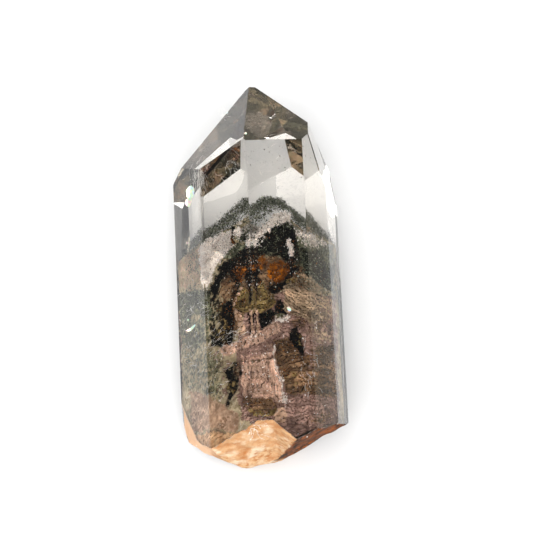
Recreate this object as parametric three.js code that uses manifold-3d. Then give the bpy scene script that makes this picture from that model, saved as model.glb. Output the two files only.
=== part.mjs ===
// A clear quartz point with a phantom of chlorite and clay inside it, lying on one of its back faces.
//
// Frame, in millimetres: Y runs along the crystal towards its tip, Z is up, and X points to the right
// for someone who looks down on the crystal with its tip pointing away. The flat face that it rests on
// is at Z = 0. The shapes are laid out about the prism's own axis, and the whole is then moved so that
// the origin is under the middle of its box.

import * as THREE from 'three';
import { ConvexGeometry } from 'three/addons/geometries/ConvexGeometry.js';
import { mergeVertices } from 'three/addons/utils/BufferGeometryUtils.js';
import Module from 'manifold-3d';

const manifold = await Module();
manifold.setup();

// Driving dimensions

const TIP = 38.9;
const AXIS_X = -1.8;
const AXIS_Z = 14;
const GAP = 0.3;
const CHIPPED_TIP = 0.4;
const BUTT_REACH = 60;

// Corners of the ten-sided prism, as [x, z], from the left silhouette over the top to the right.
const PRISM_CORNERS = [
  [-18.1, 10.2], [-12.6, 20.8], [-3.1, 28], [8.1, 24.2],
  [12.5, 18.2], [14.8, 10.4], [9.9, 3.7], [5.5, 0], [-6.4, 0], [-17.9, 4.6],
];

// Facets of the termination. Around is the direction that a facet faces in the cross-section, in
// degrees from +X towards +Z. Lean is its angle to the crystal's axis. Crossing is where its plane
// meets the axis.
const FACETS = [
  { around: 75.8, lean: 37.9, crossing: TIP },
  { around: 139.1, lean: 32.1, crossing: TIP },
  { around: 181.9, lean: 40.4, crossing: 38.8 },
  { around: 247.5, lean: 35.5, crossing: 38.2 },
  { around: 307.1, lean: 36.9, crossing: 41.3 },
  { around: 350, lean: 41.3, crossing: 39.9 },
  { around: 15, lean: 10, crossing: 98.9 },
];

// The phantom is an earlier, smaller surface of the same crystal, buried under clear quartz, with a
// blunt termination of its own.
const PHANTOM_FACETS = [
  { around: 162, lean: 56, crossing: 12 },
  { around: 54, lean: 75.9, crossing: 12.9 },
  { around: 7.8, lean: 48.3, crossing: 15.6 },
  { around: 250, lean: 42, crossing: 14.8 },
  { around: 300, lean: 42, crossing: 15.2 },
];
const PHANTOM_TIP = 12.5;
const PHANTOM_AXIS_X = 0.6;
const PHANTOM_DEPTH = 2;

// The phantom's skin is drawn in rings, closer together near its tip, and its bites leave at least the
// given share of a ring's reach.
const PHANTOM_BUTT = -46;
const PHANTOM_AROUND = 72;
const PHANTOM_STATIONS = 38;
const LAST_RING_DROP = 0.4;
const RING_CROWDING = 0.8;
const LEAST_SHARE = 0.55;

// Relief of the phantom: growth steps that wander, scales and hollows, with their sizes and shares.
const PHANTOM_RELIEF = 1.3;
const STEP_HEIGHT = 3.4;
const STEP_WANDER = 2.5;
const WANDER_SIZE = 5;
const STEP_SHARE = 0.35;
const SCALE_SIZE = 1.9;
const SCALE_SHARE = 0.5;
const HOLLOW_SIZE = 6;
const HOLLOW_RIM = 0.55;
const HOLLOW_SHARE = 2.2;

// The broken end is the outermost of a few fracture faces, each given by three points on it. A scar
// where a chip came off the front edge is a groove between two more.
const FRACTURES = [
  [[4.1, -39.3, 25.6], [13.5, -33.6, 14.8], [3.5, -38.2, 12]],
  [[-18.2, -26.4, 10], [-14.5, -37.6, 19.4], [-17.2, -32.5, 5]],
  [[-14.5, -37.6, 19.4], [-10.5, -41.1, 22.4], [-12.3, -37.2, 6]],
  [[-5.5, -41, 11], [2, -39.5, 11], [-2, -37.2, 0]],
  [[-5.5, -41, 11], [-12.3, -38.4, 12], [-9.2, -36.5, 0]],
  [[2, -39.5, 11], [10, -35.4, 12], [5.6, -34, 0]],
];
const SCAR = [
  [[-7.8, -37.6, 24.5], [-0.4, -35.7, 27.1], [-5.5, -41, 11]],
  [[-0.4, -35.7, 27.1], [4.1, -39.3, 25.6], [0.2, -39.9, 10]],
];
const FRACTURE_CELL = 1.25;
const FRACTURE_RELIEF = 0.55;
const RIPPLE_SIZE = 3.1;
const GRAIN_SIZE = 1.3;
const GRAIN_SHARE = 0.5;
const FRACTURE_AREA = { low: [-22, -4], high: [19, 32] };
const BEYOND_TIP = TIP + 5;

// Numbers that look random but are the same on each run

function scatter(i, j, k) {
  const s = Math.sin(i * 127.1 + j * 311.7 + k * 74.7) * 43758.5453;
  return s - Math.floor(s);
}

function smooth(t) {
  return t * t * (3 - 2 * t);
}

// Soft lumps between 0 and 1 about one unit across.
function lumps(x, y, z) {
  const [i, j, k] = [x, y, z].map(Math.floor);
  const [u, v, w] = [smooth(x - i), smooth(y - j), smooth(z - k)];
  let total = 0;
  for (const [a, b, c] of CELL_CORNERS) {
    const weight = (a ? u : 1 - u) * (b ? v : 1 - v) * (c ? w : 1 - w);
    total += weight * scatter(i + a, j + b, k + c);
  }
  return total;
}

const CELL_CORNERS = [0, 1].flatMap((a) => [0, 1].flatMap((b) => [0, 1].map((c) => [a, b, c])));

// Solids bounded by flat faces

// A plane across the crystal well beyond its broken end.
const BUTT = { normal: new THREE.Vector3(0, -1, 0), reach: BUTT_REACH };

function facetPlane({ around, lean, crossing }) {
  const turn = THREE.MathUtils.degToRad(around);
  const tilt = THREE.MathUtils.degToRad(lean);
  const normal = new THREE.Vector3(
    Math.cos(tilt) * Math.cos(turn), Math.sin(tilt), Math.cos(tilt) * Math.sin(turn),
  );
  return { normal, reach: normal.dot(new THREE.Vector3(AXIS_X, crossing, AXIS_Z)) };
}

function prismPlanes(corners) {
  return corners.map(([x, z], i) => {
    const [nextX, nextZ] = corners[(i + 1) % corners.length];
    const normal = new THREE.Vector3(z - nextZ, 0, nextX - x).normalize();
    return { normal, reach: normal.x * x + normal.z * z };
  });
}

// The prism's faces, all moved inwards by inset, with the facets that end it.
function crystalPlanes(facets, inset = 0) {
  const sides = prismPlanes(PRISM_CORNERS).map(({ normal, reach }) => ({ normal, reach: reach - inset }));
  return [...sides, ...facets.map(facetPlane)];
}

function meetingPoint(a, b, c) {
  const cross = new THREE.Vector3().crossVectors(b.normal, c.normal);
  const volume = a.normal.dot(cross);
  if (Math.abs(volume) < 1e-6) return null;
  return cross.multiplyScalar(a.reach)
    .addScaledVector(new THREE.Vector3().crossVectors(c.normal, a.normal), b.reach)
    .addScaledVector(new THREE.Vector3().crossVectors(a.normal, b.normal), c.reach)
    .divideScalar(volume);
}

function solidFromPlanes(planes) {
  const tolerance = 1e-5;
  const corners = [];
  for (let i = 0; i < planes.length; i += 1) {
    for (let j = i + 1; j < planes.length; j += 1) {
      for (let k = j + 1; k < planes.length; k += 1) {
        const point = meetingPoint(planes[i], planes[j], planes[k]);
        if (point && planes.every((p) => p.normal.dot(point) < p.reach + tolerance)) corners.push(point);
      }
    }
  }
  return toSolid(new ConvexGeometry(corners));
}

// Joins and cuts

function toSolid(geometry) {
  const bare = geometry.clone();
  bare.deleteAttribute('normal');
  bare.deleteAttribute('uv');
  const merged = mergeVertices(bare, 1e-4);
  return new manifold.Manifold(new manifold.Mesh({
    numProp: 3,
    vertProperties: new Float32Array(merged.attributes.position.array),
    triVerts: new Uint32Array(merged.index.array),
  }));
}

function toGeometry(solid) {
  const mesh = solid.getMesh();
  const geometry = new THREE.BufferGeometry();
  geometry.setAttribute('position', new THREE.BufferAttribute(mesh.vertProperties, 3));
  geometry.setIndex(new THREE.BufferAttribute(mesh.triVerts, 1));
  geometry.computeVertexNormals();
  return geometry;
}

// A closed skin over rows of points. Each row is a ring, and the first and last rings are capped.
function closedRings(rings) {
  const around = rings[0].length;
  const points = rings.flat();
  const index = [];
  for (let row = 0; row + 1 < rings.length; row += 1) {
    for (let i = 0; i < around; i += 1) {
      const [a, b] = [row * around + i, row * around + ((i + 1) % around)];
      index.push(a, b, b + around, a, b + around, a + around);
    }
  }
  for (const [row, flip] of [[0, false], [rings.length - 1, true]]) {
    const centre = points.length;
    const ring = rings[row];
    const sum = ring.reduce((t, p) => t.add(p), new THREE.Vector3());
    points.push(sum.divideScalar(ring.length));
    for (let i = 0; i < around; i += 1) {
      const [a, b] = [row * around + i, row * around + ((i + 1) % around)];
      index.push(...(flip ? [a, b, centre] : [b, a, centre]));
    }
  }
  const geometry = new THREE.BufferGeometry().setFromPoints(points);
  geometry.setIndex(index);
  return geometry;
}

// The broken end

function fracturePlane([a, b, c]) {
  const [p, q, r] = [a, b, c].map((v) => new THREE.Vector3(...v));
  const normal = q.clone().sub(p).cross(r.clone().sub(p)).normalize();
  return { normal, reach: normal.dot(p) };
}

function heightOn({ normal, reach }, x, z) {
  return (reach - normal.x * x - normal.z * z) / normal.y;
}

// How far towards the butt the quartz reaches under the point x, z of the cross-section.
function brokenEnd(faces, scar, x, z) {
  const outermost = Math.max(...faces.map((face) => heightOn(face, x, z)));
  const groove = Math.min(...scar.map((face) => heightOn(face, x, z)));
  const ripple = lumps(x / RIPPLE_SIZE, 2, z / RIPPLE_SIZE);
  const grain = GRAIN_SHARE * lumps(x / GRAIN_SIZE, 9, z / GRAIN_SIZE);
  return Math.max(outermost, groove) + FRACTURE_RELIEF * (ripple + grain - (1 + GRAIN_SHARE) / 2);
}

// Everything on the tip's side of the fracture, wider than the crystal.
function unbrokenSide() {
  const faces = FRACTURES.map(fracturePlane);
  const scar = SCAR.map(fracturePlane);
  const { low, high } = FRACTURE_AREA;
  const columns = Math.round((high[0] - low[0]) / FRACTURE_CELL);
  const rows = Math.round((high[1] - low[1]) / FRACTURE_CELL);
  const points = [];
  for (const end of [false, true]) {
    for (let j = 0; j <= rows; j += 1) {
      for (let i = 0; i <= columns; i += 1) {
        const x = low[0] + (i * (high[0] - low[0])) / columns;
        const z = low[1] + (j * (high[1] - low[1])) / rows;
        points.push(new THREE.Vector3(x, end ? BEYOND_TIP : brokenEnd(faces, scar, x, z), z));
      }
    }
  }
  return toSolid(slab(points, columns, rows));
}

// Two grids of points, the first facing the butt and the second facing the tip, joined at the rim.
function slab(points, columns, rows) {
  const wide = columns + 1;
  const layer = wide * (rows + 1);
  const index = [];
  const quad = (a, b, c, d) => index.push(a, b, c, a, c, d);
  for (let j = 0; j < rows; j += 1) {
    for (let i = 0; i < columns; i += 1) {
      const a = j * wide + i;
      quad(a, a + 1, a + wide + 1, a + wide);
      quad(layer + a, layer + a + wide, layer + a + wide + 1, layer + a + 1);
    }
  }
  for (let i = 0; i < columns; i += 1) {
    const top = rows * wide + i;
    quad(i, layer + i, layer + i + 1, i + 1);
    quad(top, top + 1, layer + top + 1, layer + top);
  }
  for (let j = 0; j < rows; j += 1) {
    const [a, b] = [j * wide, j * wide + columns];
    quad(a, a + wide, layer + a + wide, layer + a);
    quad(b, layer + b, layer + b + wide, b + wide);
  }
  const geometry = new THREE.BufferGeometry().setFromPoints(points);
  geometry.setIndex(index);
  return geometry;
}

// The phantom

// How far the planes let a point move from the phantom's axis at height y in the direction of turn.
function reachFromAxis(planes, y, turn) {
  const start = new THREE.Vector3(PHANTOM_AXIS_X, y, AXIS_Z);
  const way = new THREE.Vector3(Math.cos(turn), 0, Math.sin(turn));
  const reaches = planes
    .filter((p) => p.normal.dot(way) > 1e-6)
    .map((p) => (p.reach - p.normal.dot(start)) / p.normal.dot(way));
  return Math.min(...reaches);
}

// Growth steps and scales, which bite into the phantom's faces and never stand out of them.
function phantomBite(x, y, z) {
  const wander = STEP_WANDER * lumps(x / WANDER_SIZE, y / WANDER_SIZE, z / WANDER_SIZE);
  const steps = Math.abs(((y + wander) / STEP_HEIGHT) % 1);
  const scales = lumps(x / SCALE_SIZE, y / SCALE_SIZE, z / SCALE_SIZE);
  const hollows = Math.max(0, lumps(x / HOLLOW_SIZE, y / HOLLOW_SIZE + 7, z / HOLLOW_SIZE) - HOLLOW_RIM);
  return PHANTOM_RELIEF * (STEP_SHARE * steps + SCALE_SHARE * scales + HOLLOW_SHARE * hollows);
}

function phantomRing(planes, y) {
  return Array.from({ length: PHANTOM_AROUND }, (_, i) => {
    const turn = (-2 * Math.PI * i) / PHANTOM_AROUND;
    const reach = reachFromAxis(planes, y, turn);
    const [c, s] = [Math.cos(turn), Math.sin(turn)];
    const bite = phantomBite(PHANTOM_AXIS_X + reach * c, y, AXIS_Z + reach * s);
    const radius = Math.max(LEAST_SHARE * reach, reach - bite);
    return new THREE.Vector3(PHANTOM_AXIS_X + radius * c, y, AXIS_Z + radius * s);
  });
}

function phantomForm() {
  const planes = crystalPlanes(PHANTOM_FACETS, PHANTOM_DEPTH);
  const rings = Array.from({ length: PHANTOM_STATIONS + 1 }, (_, i) => {
    const share = (i / PHANTOM_STATIONS) ** RING_CROWDING;
    return phantomRing(planes, THREE.MathUtils.lerp(PHANTOM_BUTT, PHANTOM_TIP - LAST_RING_DROP, share));
  });
  return toSolid(closedRings(rings));
}

// The space that the phantom lies in, open at the broken end and clear of the phantom by the gap.
function pocketForm() {
  const facets = PHANTOM_FACETS.map((f) => {
    const rise = GAP / Math.sin(THREE.MathUtils.degToRad(f.lean));
    return { ...f, crossing: f.crossing + rise };
  });
  return solidFromPlanes([...crystalPlanes(facets, PHANTOM_DEPTH - GAP), BUTT]);
}

// The two pieces

function finishedPiece(name, solid, colour, roughness, metalness) {
  const material = new THREE.MeshStandardMaterial({ color: colour, roughness, metalness });
  const piece = new THREE.Mesh(toGeometry(solid), material);
  piece.name = name;
  return piece;
}

const chip = { normal: new THREE.Vector3(0, 1, 0), reach: TIP - CHIPPED_TIP };
const wholePoint = solidFromPlanes([...crystalPlanes(FACETS), BUTT, chip]);
const unbroken = unbrokenSide();

const crystal = new THREE.Group();
crystal.add(
  finishedPiece('quartz_crystal', wholePoint.intersect(unbroken).subtract(pocketForm()), 0xd8d4cc, 0.05, 0),
  finishedPiece('chlorite_phantom', phantomForm().intersect(unbroken), 0x5b5a45, 0.85, 0),
);

const box = new THREE.Box3().setFromObject(crystal);
crystal.position.set(-(box.min.x + box.max.x) / 2, -(box.min.y + box.max.y) / 2, -box.min.z);

export default crystal;
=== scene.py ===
"""A chlorite quartz crystal: a clear polished point with a phantom inside, lying on a back face."""
import logging
from dataclasses import dataclass
from enum import Enum

import bmesh
import bpy
import numpy as np
from mathutils import Matrix, Vector


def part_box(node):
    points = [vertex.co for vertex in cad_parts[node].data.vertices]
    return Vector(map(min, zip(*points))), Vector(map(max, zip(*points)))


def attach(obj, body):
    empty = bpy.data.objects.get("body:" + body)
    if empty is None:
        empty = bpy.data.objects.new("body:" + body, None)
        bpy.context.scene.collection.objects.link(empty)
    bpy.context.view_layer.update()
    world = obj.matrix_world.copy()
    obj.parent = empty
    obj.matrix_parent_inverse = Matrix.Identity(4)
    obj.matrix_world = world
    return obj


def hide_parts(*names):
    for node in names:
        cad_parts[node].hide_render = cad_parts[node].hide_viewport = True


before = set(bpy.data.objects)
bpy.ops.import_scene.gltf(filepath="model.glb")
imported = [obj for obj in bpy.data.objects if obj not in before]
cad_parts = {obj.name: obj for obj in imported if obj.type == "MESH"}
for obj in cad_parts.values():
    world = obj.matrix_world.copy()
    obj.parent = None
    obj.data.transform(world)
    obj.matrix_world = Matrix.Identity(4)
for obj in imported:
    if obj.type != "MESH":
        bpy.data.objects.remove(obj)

LOG = logging.getLogger("chlorite_quartz")
MM = 0.001
TINY = 1e-9
Array = np.ndarray
Planes = tuple[Array, Array]
Range = tuple[float, float]
Pixel = tuple[float, float]
Point = tuple[float, float, float]
Fracture = tuple[Point, Point, Point]
Colour = tuple[float, float, float, float]
Socket = bpy.types.NodeSocket
WHITE = (1.0, 1.0, 1.0, 1.0)


class Mineral(Enum):
    """What a patch of the phantom is made of, or painted shade in its hollows, in the order in which their
    colours are laid on.
    """

    CHLORITE = "chlorite"
    MAUVE = "mauve"
    BROWN = "brown"
    # Painted shade: near-black laid in the hollows sunk into the phantom
    SHADOW = "shadow"
    RUST = "rust"
    OLIVE = "olive"
    PEACH = "peach"
    FIBRE = "fibre"
    CLAY = "clay"
    CREAM = "cream"
    OCHRE = "ochre"


@dataclass(frozen=True)
class Facet:
    """A facet of the termination.

    around is the direction that it faces in the cross-section, in degrees from +X towards +Z, lean is its
    angle to the crystal's axis, and crossing is where its plane meets that axis, in millimetres.
    """

    around: float
    lean: float
    crossing: float


@dataclass(frozen=True)
class Habit:
    """The crystal's own shape, in millimetres, laid out about the prism's axis."""

    tip: float = 38.9
    chipped_tip: float = 0.4
    axis: tuple[float, float] = (-1.8, 14.0)
    butt: float = 60.0
    corners: tuple[tuple[float, float], ...] = (
        (-18.1, 10.2), (-12.6, 20.8), (-3.1, 28.0), (8.1, 24.2),
        (12.5, 18.2), (14.8, 10.4), (9.9, 3.7), (5.5, 0.0), (-6.4, 0.0), (-17.9, 4.6),
    )
    facets: tuple[Facet, ...] = (
        Facet(75.8, 37.9, 38.9),
        Facet(139.1, 32.1, 38.9),
        Facet(181.9, 40.4, 38.8),
        Facet(247.5, 35.5, 38.2),
        Facet(307.1, 36.9, 41.3),
        Facet(350, 41.3, 39.9),
        Facet(15, 10, 98.9),
    )

    def sides(self, inset: float = 0.0) -> Planes:
        """The prism's side faces.

        Args:
            inset: How far they are moved inwards, in millimetres.

        Returns:
            Their unit normals and their distances from the origin.
        """
        normals, reaches = [], []
        for (x, z), (next_x, next_z) in zip(self.corners, self.corners[1:] + self.corners[:1]):
            normal = np.array([z - next_z, 0.0, next_x - x])
            normal /= np.linalg.norm(normal)
            normals.append(normal)
            reaches.append(normal @ [x, 0.0, z] - inset)
        return np.array(normals), np.array(reaches)

    def ends(self, facets: tuple[Facet, ...]) -> Planes:
        """Facets of a termination as planes.

        Args:
            facets: The facets, about the prism's axis.

        Returns:
            Their unit normals and their distances from the origin.
        """
        turns = np.radians([facet.around for facet in facets])
        tilts = np.radians([facet.lean for facet in facets])
        sideways, upwards = np.cos(tilts) * np.cos(turns), np.cos(tilts) * np.sin(turns)
        normals = np.stack([sideways, np.sin(tilts), upwards], axis=1)
        on_axis = np.array([(self.axis[0], facet.crossing, self.axis[1]) for facet in facets])
        return normals, np.sum(normals * on_axis, axis=1)

    def planes(self) -> Planes:
        """All the polished faces."""
        return joined(self.sides(), self.ends(self.facets))


def joined(*parts: Planes) -> Planes:
    """Several sets of planes as one."""
    return np.vstack([normals for normals, _ in parts]), np.concatenate([reaches for _, reaches in parts])


class Layout:
    """Moves shapes from the crystal's own axes, in millimetres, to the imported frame, in metres."""

    def __init__(self, habit: Habit) -> None:
        """Finds the move that puts the crystal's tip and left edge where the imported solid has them.

        Args:
            habit: The crystal's own shape.
        """
        low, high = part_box("quartz_crystal")
        left = min(x for x, _ in habit.corners)
        self.shift = np.array([low.x / MM - left, high.y / MM - (habit.tip - habit.chipped_tip), 0.0])

    def metres(self, points: Array) -> Array:
        """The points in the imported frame."""
        return (np.asarray(points, float) + self.shift) * MM

    def vector(self, point: Point) -> Vector:
        """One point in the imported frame, as a vector."""
        return Vector(self.metres(np.array(point)))


# The shift between two fields of the noise, and the whole numbers that scatter the values of its cells
SEED_SHIFT = 17.31
CELL_KEYS = (73856093, 19349663, 83492791)
SEED_KEY = 2654435
STIR_KEY = 1274126177
STIR_SHIFTS = (13, 16)
STIR_BITS = 0x7FFFFFFF
STEPS = 65536


def lumps(points: Array, scale: float, seed: int = 0) -> Array:
    """Smooth noise between 0 and 1.

    Args:
        points: Where to read it, one row each.
        scale: The size of a lump, in the points' units.
        seed: Which of many such fields to read.

    Returns:
        One value for each point.
    """
    p = np.asarray(points, float) / scale + seed * SEED_SHIFT
    cell = np.floor(p).astype(np.int64)
    part = p - cell
    part = part * part * (3 - 2 * part)
    total = np.zeros(len(p))
    for corner in np.ndindex(2, 2, 2):
        weight = np.prod(np.where(corner, part, 1 - part), axis=1)
        key = (cell + corner) @ np.array(CELL_KEYS) + seed * SEED_KEY
        key = (key ^ (key >> STIR_SHIFTS[0])) * STIR_KEY & STIR_BITS
        total += weight * ((key ^ (key >> STIR_SHIFTS[1])) % STEPS) / (STEPS - 1.0)
    return total


def rough(points: Array, scale: float, seed: int = 0, octaves: int = 3) -> Array:
    """Several sizes of lumps added together, between 0 and 1."""
    layers = [lumps(points, scale / 2**i, seed + i) / 2**i for i in range(octaves)]
    return sum(layers) / sum(1 / 2**i for i in range(octaves))


def step(values: Array, low: float, high: float) -> Array:
    """A smooth rise from 0 at low to 1 at high."""
    t = np.clip((values - low) / (high - low), 0, 1)
    return t * t * (3 - 2 * t)


@dataclass(frozen=True)
class Ripple:
    """One kind of unevenness: the size of its lumps in millimetres, and which field of noise it reads."""

    size: float
    seed: int

    def at(self, points: Array) -> Array:
        """Its height at points, between 0 and 1."""
        return rough(points, self.size, self.seed)


@dataclass(frozen=True)
class Sight:
    """The photograph's view of the crystal, with the bending of light at its faces.

    The angles are in degrees, and the distance and the target in millimetres. Faces that are seen at less
    than grazing, the sine of an angle, show nothing.
    """

    habit: Habit
    target: Point = (0.0, 0.0, 14.0)
    azimuth: float = -2.6
    elevation: float = 72.0
    distance: float = 600.0
    mm_per_pixel: float = 0.2
    frame_pixels: int = 533
    index: float = 1.544
    grazing: float = 0.02

    @property
    def focal(self) -> float:
        """The focal length in pixels."""
        return self.distance / self.mm_per_pixel

    def axes(self) -> tuple[Array, Array, Array, Array]:
        """Where the camera stands and how it is turned.

        Returns:
            Its place, and its forward, right and up directions.
        """
        turn, rise = np.radians([self.azimuth, self.elevation])
        back = np.array([np.cos(rise) * np.sin(turn), -np.cos(rise) * np.cos(turn), np.sin(rise)])
        right = np.cross(-back, [0.0, 0.0, 1.0])
        right /= np.linalg.norm(right)
        return np.array(self.target) + self.distance * back, -back, right, np.cross(right, -back)

    def rays(self, pixels: Array) -> tuple[Array, Array]:
        """Follows pixels out of the camera.

        Args:
            pixels: Pixels of the photograph, one row each.

        Returns:
            The camera's place, and the direction in which it sees each pixel.
        """
        place, forward, right, up = self.axes()
        off = (np.asarray(pixels, float) - self.frame_pixels / 2) / self.focal
        ways = forward + off[:, :1] * right - off[:, 1:] * up
        return place, ways / np.linalg.norm(ways, axis=1)[:, None]

    def pixels(self, points: Array) -> Array:
        """Finds where the camera sees points straight through the air.

        Args:
            points: The points, one row each.

        Returns:
            Their pixels.
        """
        place, forward, right, up = self.axes()
        rel = np.asarray(points, float) - place
        across = np.stack([rel @ right, -(rel @ up)], axis=1)
        return self.frame_pixels / 2 + across / (rel @ forward)[:, None] * self.focal

    def refract(self, ways: Array, normals: Array) -> Array:
        """Bends rays at the faces through which they enter the quartz.

        Args:
            ways: Their directions in the air.
            normals: The outward normals of the faces.

        Returns:
            Their directions in the quartz.
        """
        cos_in = -np.sum(ways * normals, axis=1)
        ratio = 1 / self.index
        cos_out = np.sqrt(1 - ratio**2 * (1 - cos_in**2))
        return ratio * ways + (ratio * cos_in - cos_out)[:, None] * normals

    def enter(self, pixels: Array) -> tuple[Array, Array, Array]:
        """Follows rays through the crystal's outer faces.

        Args:
            pixels: Pixels of the photograph, one row each.

        Returns:
            The points of entry, the ways inside, and whether each ray enters at all.
        """
        place, ways = self.rays(pixels)
        normals, reaches = self.habit.planes()
        facing = ways @ normals.T
        times = (reaches - place @ normals.T) / np.where(np.abs(facing) < TINY, TINY, facing)
        entry = np.where(facing < 0, times, -np.inf)
        hits = entry.max(axis=1) < np.where(facing > 0, times, np.inf).min(axis=1)
        start = place + ways * entry.max(axis=1)[:, None]
        return start, self.refract(ways, normals[entry.argmax(axis=1)]), hits

    def seen_at(self, points: Array, outward: Array, slack: float = 0.05) -> tuple[Array, Array]:
        """Finds the pixels at which buried points show through the outer faces.

        Args:
            points: Points inside the quartz, one row each.
            outward: The directions in which their surface faces.
            slack: How far outside a face its rays may still come in.

        Returns:
            The pixels, and how squarely each point shows there, 0 where it is hidden.
        """
        place = self.axes()[0]
        normals, reaches = self.habit.planes()
        ways = points - place
        ways /= np.linalg.norm(ways, axis=1)[:, None]
        best = np.zeros((len(points), 2))
        worth = np.zeros(len(points))
        square = np.zeros(len(points))
        for i, (normal, reach) in enumerate(zip(normals, reaches)):
            if (ways @ normal).max() > -self.grazing:
                continue
            inner = self.refract(ways, np.broadcast_to(normal, points.shape))
            depth = (points @ normal - reach) / (inner @ normal)
            start = points - inner * depth[:, None]
            outside = start @ normals.T - reaches
            outside[:, i] = 0
            facing = -np.sum(inner * outward, axis=1)
            value = np.where((outside.max(axis=1) < slack) & (facing > 0), -(ways @ normal), 0)
            better = value > worth
            best[better] = self.pixels(start[better])
            worth[better] = value[better]
            square[better] = facing[better]
        return best, square


# The soft edge of a patch or a vein, as minus the distance from its middle in units of its size
FADE = (-1.4, -0.7)


def gaps_to_line(pixels: Array, corners: tuple[Pixel, ...]) -> Array:
    """Measures how far pixels lie from a line.

    Args:
        pixels: The pixels, one row each.
        corners: The line's corners.

    Returns:
        Each pixel's distance to the nearest stretch of the line.
    """
    nearest = np.full(len(pixels), np.inf)
    for start, end in zip(corners, corners[1:]):
        way = np.subtract(end, start)
        part = np.clip((pixels - start) @ way / (way @ way), 0, 1)
        nearest = np.minimum(nearest, np.linalg.norm(pixels - start - part[:, None] * way, axis=1))
    return nearest


@dataclass(frozen=True)
class Patch:
    """A patch of one mineral, placed by pixels of the photograph.

    x and y are its middle, wide and high its half sizes, and turn its tilt in degrees, clockwise.
    """

    mineral: Mineral
    x: float
    y: float
    wide: float
    high: float
    turn: float = 0.0
    strength: float = 1.0

    def cover(self, pixels: Array) -> Array:
        """How much of each pixel the patch covers.

        Args:
            pixels: The pixels, one row each.

        Returns:
            A value from 0 to 1 for each.
        """
        turn = np.radians(self.turn)
        off = pixels - [self.x, self.y]
        along = (off[:, 0] * np.cos(turn) + off[:, 1] * np.sin(turn)) / self.wide
        across = (off[:, 1] * np.cos(turn) - off[:, 0] * np.sin(turn)) / self.high
        return self.strength * step(-np.hypot(along, across), *FADE)


@dataclass(frozen=True)
class Vein:
    """A band of one mineral along a line of pixels of the photograph, width being its half width."""

    mineral: Mineral
    points: tuple[Pixel, ...]
    width: float
    strength: float = 1.0

    def cover(self, pixels: Array) -> Array:
        """How much of each pixel the band covers."""
        return self.strength * step(-gaps_to_line(pixels, self.points) / self.width, *FADE)


@dataclass(frozen=True)
class Area:
    """An area of one mineral inside an outline of pixels of the photograph.

    soft is the half width of its edge.
    """

    mineral: Mineral
    points: tuple[Pixel, ...]
    soft: float = 2.0
    strength: float = 1.0

    def cover(self, pixels: Array) -> Array:
        """How much of each pixel the area covers.

        Args:
            pixels: The pixels, one row each.

        Returns:
            A value from 0 to 1 for each.
        """
        closed = (*self.points, self.points[0])
        inside = np.zeros(len(pixels), bool)
        for (x, y), (next_x, next_y) in zip(closed, closed[1:]):
            crosses = (y > pixels[:, 1]) != (next_y > pixels[:, 1])
            run, fall = next_x - x, next_y - y
            inside ^= crosses & (pixels[:, 0] < x + (pixels[:, 1] - y) * run / (fall or 1.0))
        gaps = gaps_to_line(pixels, closed)
        return self.strength * step(np.where(inside, gaps, -gaps), -self.soft, self.soft)


Patches = tuple[Patch | Vein | Area, ...]


def new_object(name: str, vertices: Array, faces: list,
               materials: list[bpy.types.Material]) -> bpy.types.Object:
    """Makes a mesh object at the origin.

    Args:
        name: The piece's name.
        vertices: Its vertices, in metres.
        faces: Its faces, as the numbers of their vertices.
        materials: Its materials.

    Returns:
        The object, linked to the scene.
    """
    mesh = bpy.data.meshes.new(name)
    mesh.from_pydata(np.asarray(vertices).tolist(), [], faces)
    mesh.update()
    for material in materials:
        mesh.materials.append(material)
    made = bpy.data.objects.new(name, mesh)
    bpy.context.scene.collection.objects.link(made)
    return made


def convex_body(planes: Planes, layout: Layout, half: float = 0.2) -> bmesh.types.BMesh:
    """Cuts a block to a convex body.

    Args:
        planes: The normals and distances of its faces, in millimetres.
        layout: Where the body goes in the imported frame.
        half: Half the block's size, in metres.

    Returns:
        The body, in metres.
    """
    shape = bmesh.new()
    bmesh.ops.create_cube(shape, size=2 * half)
    for normal, reach in zip(*planes):
        whole = shape.verts[:] + shape.edges[:] + shape.faces[:]
        bmesh.ops.bisect_plane(shape, geom=whole, plane_co=layout.vector(normal * reach),
                               plane_no=Vector(normal), clear_outer=True)
        rim = [edge for edge in shape.edges if edge.is_boundary]
        if rim:
            bmesh.ops.edgeloop_fill(shape, edges=rim)
    return shape


def bake_modifiers(made: bpy.types.Object) -> None:
    """Applies an object's modifiers to its mesh.

    Args:
        made: The object, which keeps its name and place.
    """
    graph = bpy.context.evaluated_depsgraph_get()
    mesh = bpy.data.meshes.new_from_object(made.evaluated_get(graph))
    made.modifiers.clear()
    made.data = mesh


def read_values(elements: bpy.types.bpy_prop_collection, field: str, width: int) -> Array:
    """Reads one field of all the elements of a mesh.

    Args:
        elements: The elements, such as the vertices.
        field: The field's name.
        width: How many numbers it has in each of them.

    Returns:
        One row for each element.
    """
    values = np.empty(width * len(elements), np.float32)
    elements.foreach_get(field, values)
    return values.reshape(-1, width).astype(float)


def mesh_points(made: bpy.types.Object, layout: Layout) -> Array:
    """An object's vertices on the crystal's own axes, in millimetres."""
    return read_values(made.data.vertices, "co", 3) / MM - layout.shift


def mesh_normals(made: bpy.types.Object) -> Array:
    """The outward directions at an object's vertices."""
    return read_values(made.data.vertex_normals, "vector", 3)


def put_attribute(made: bpy.types.Object, name: str, values: Array) -> None:
    """Stores one number for each vertex, for the materials to read."""
    made.data.attributes.new(name, "FLOAT", "POINT").data.foreach_set("value", values.astype(np.float32))


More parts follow.
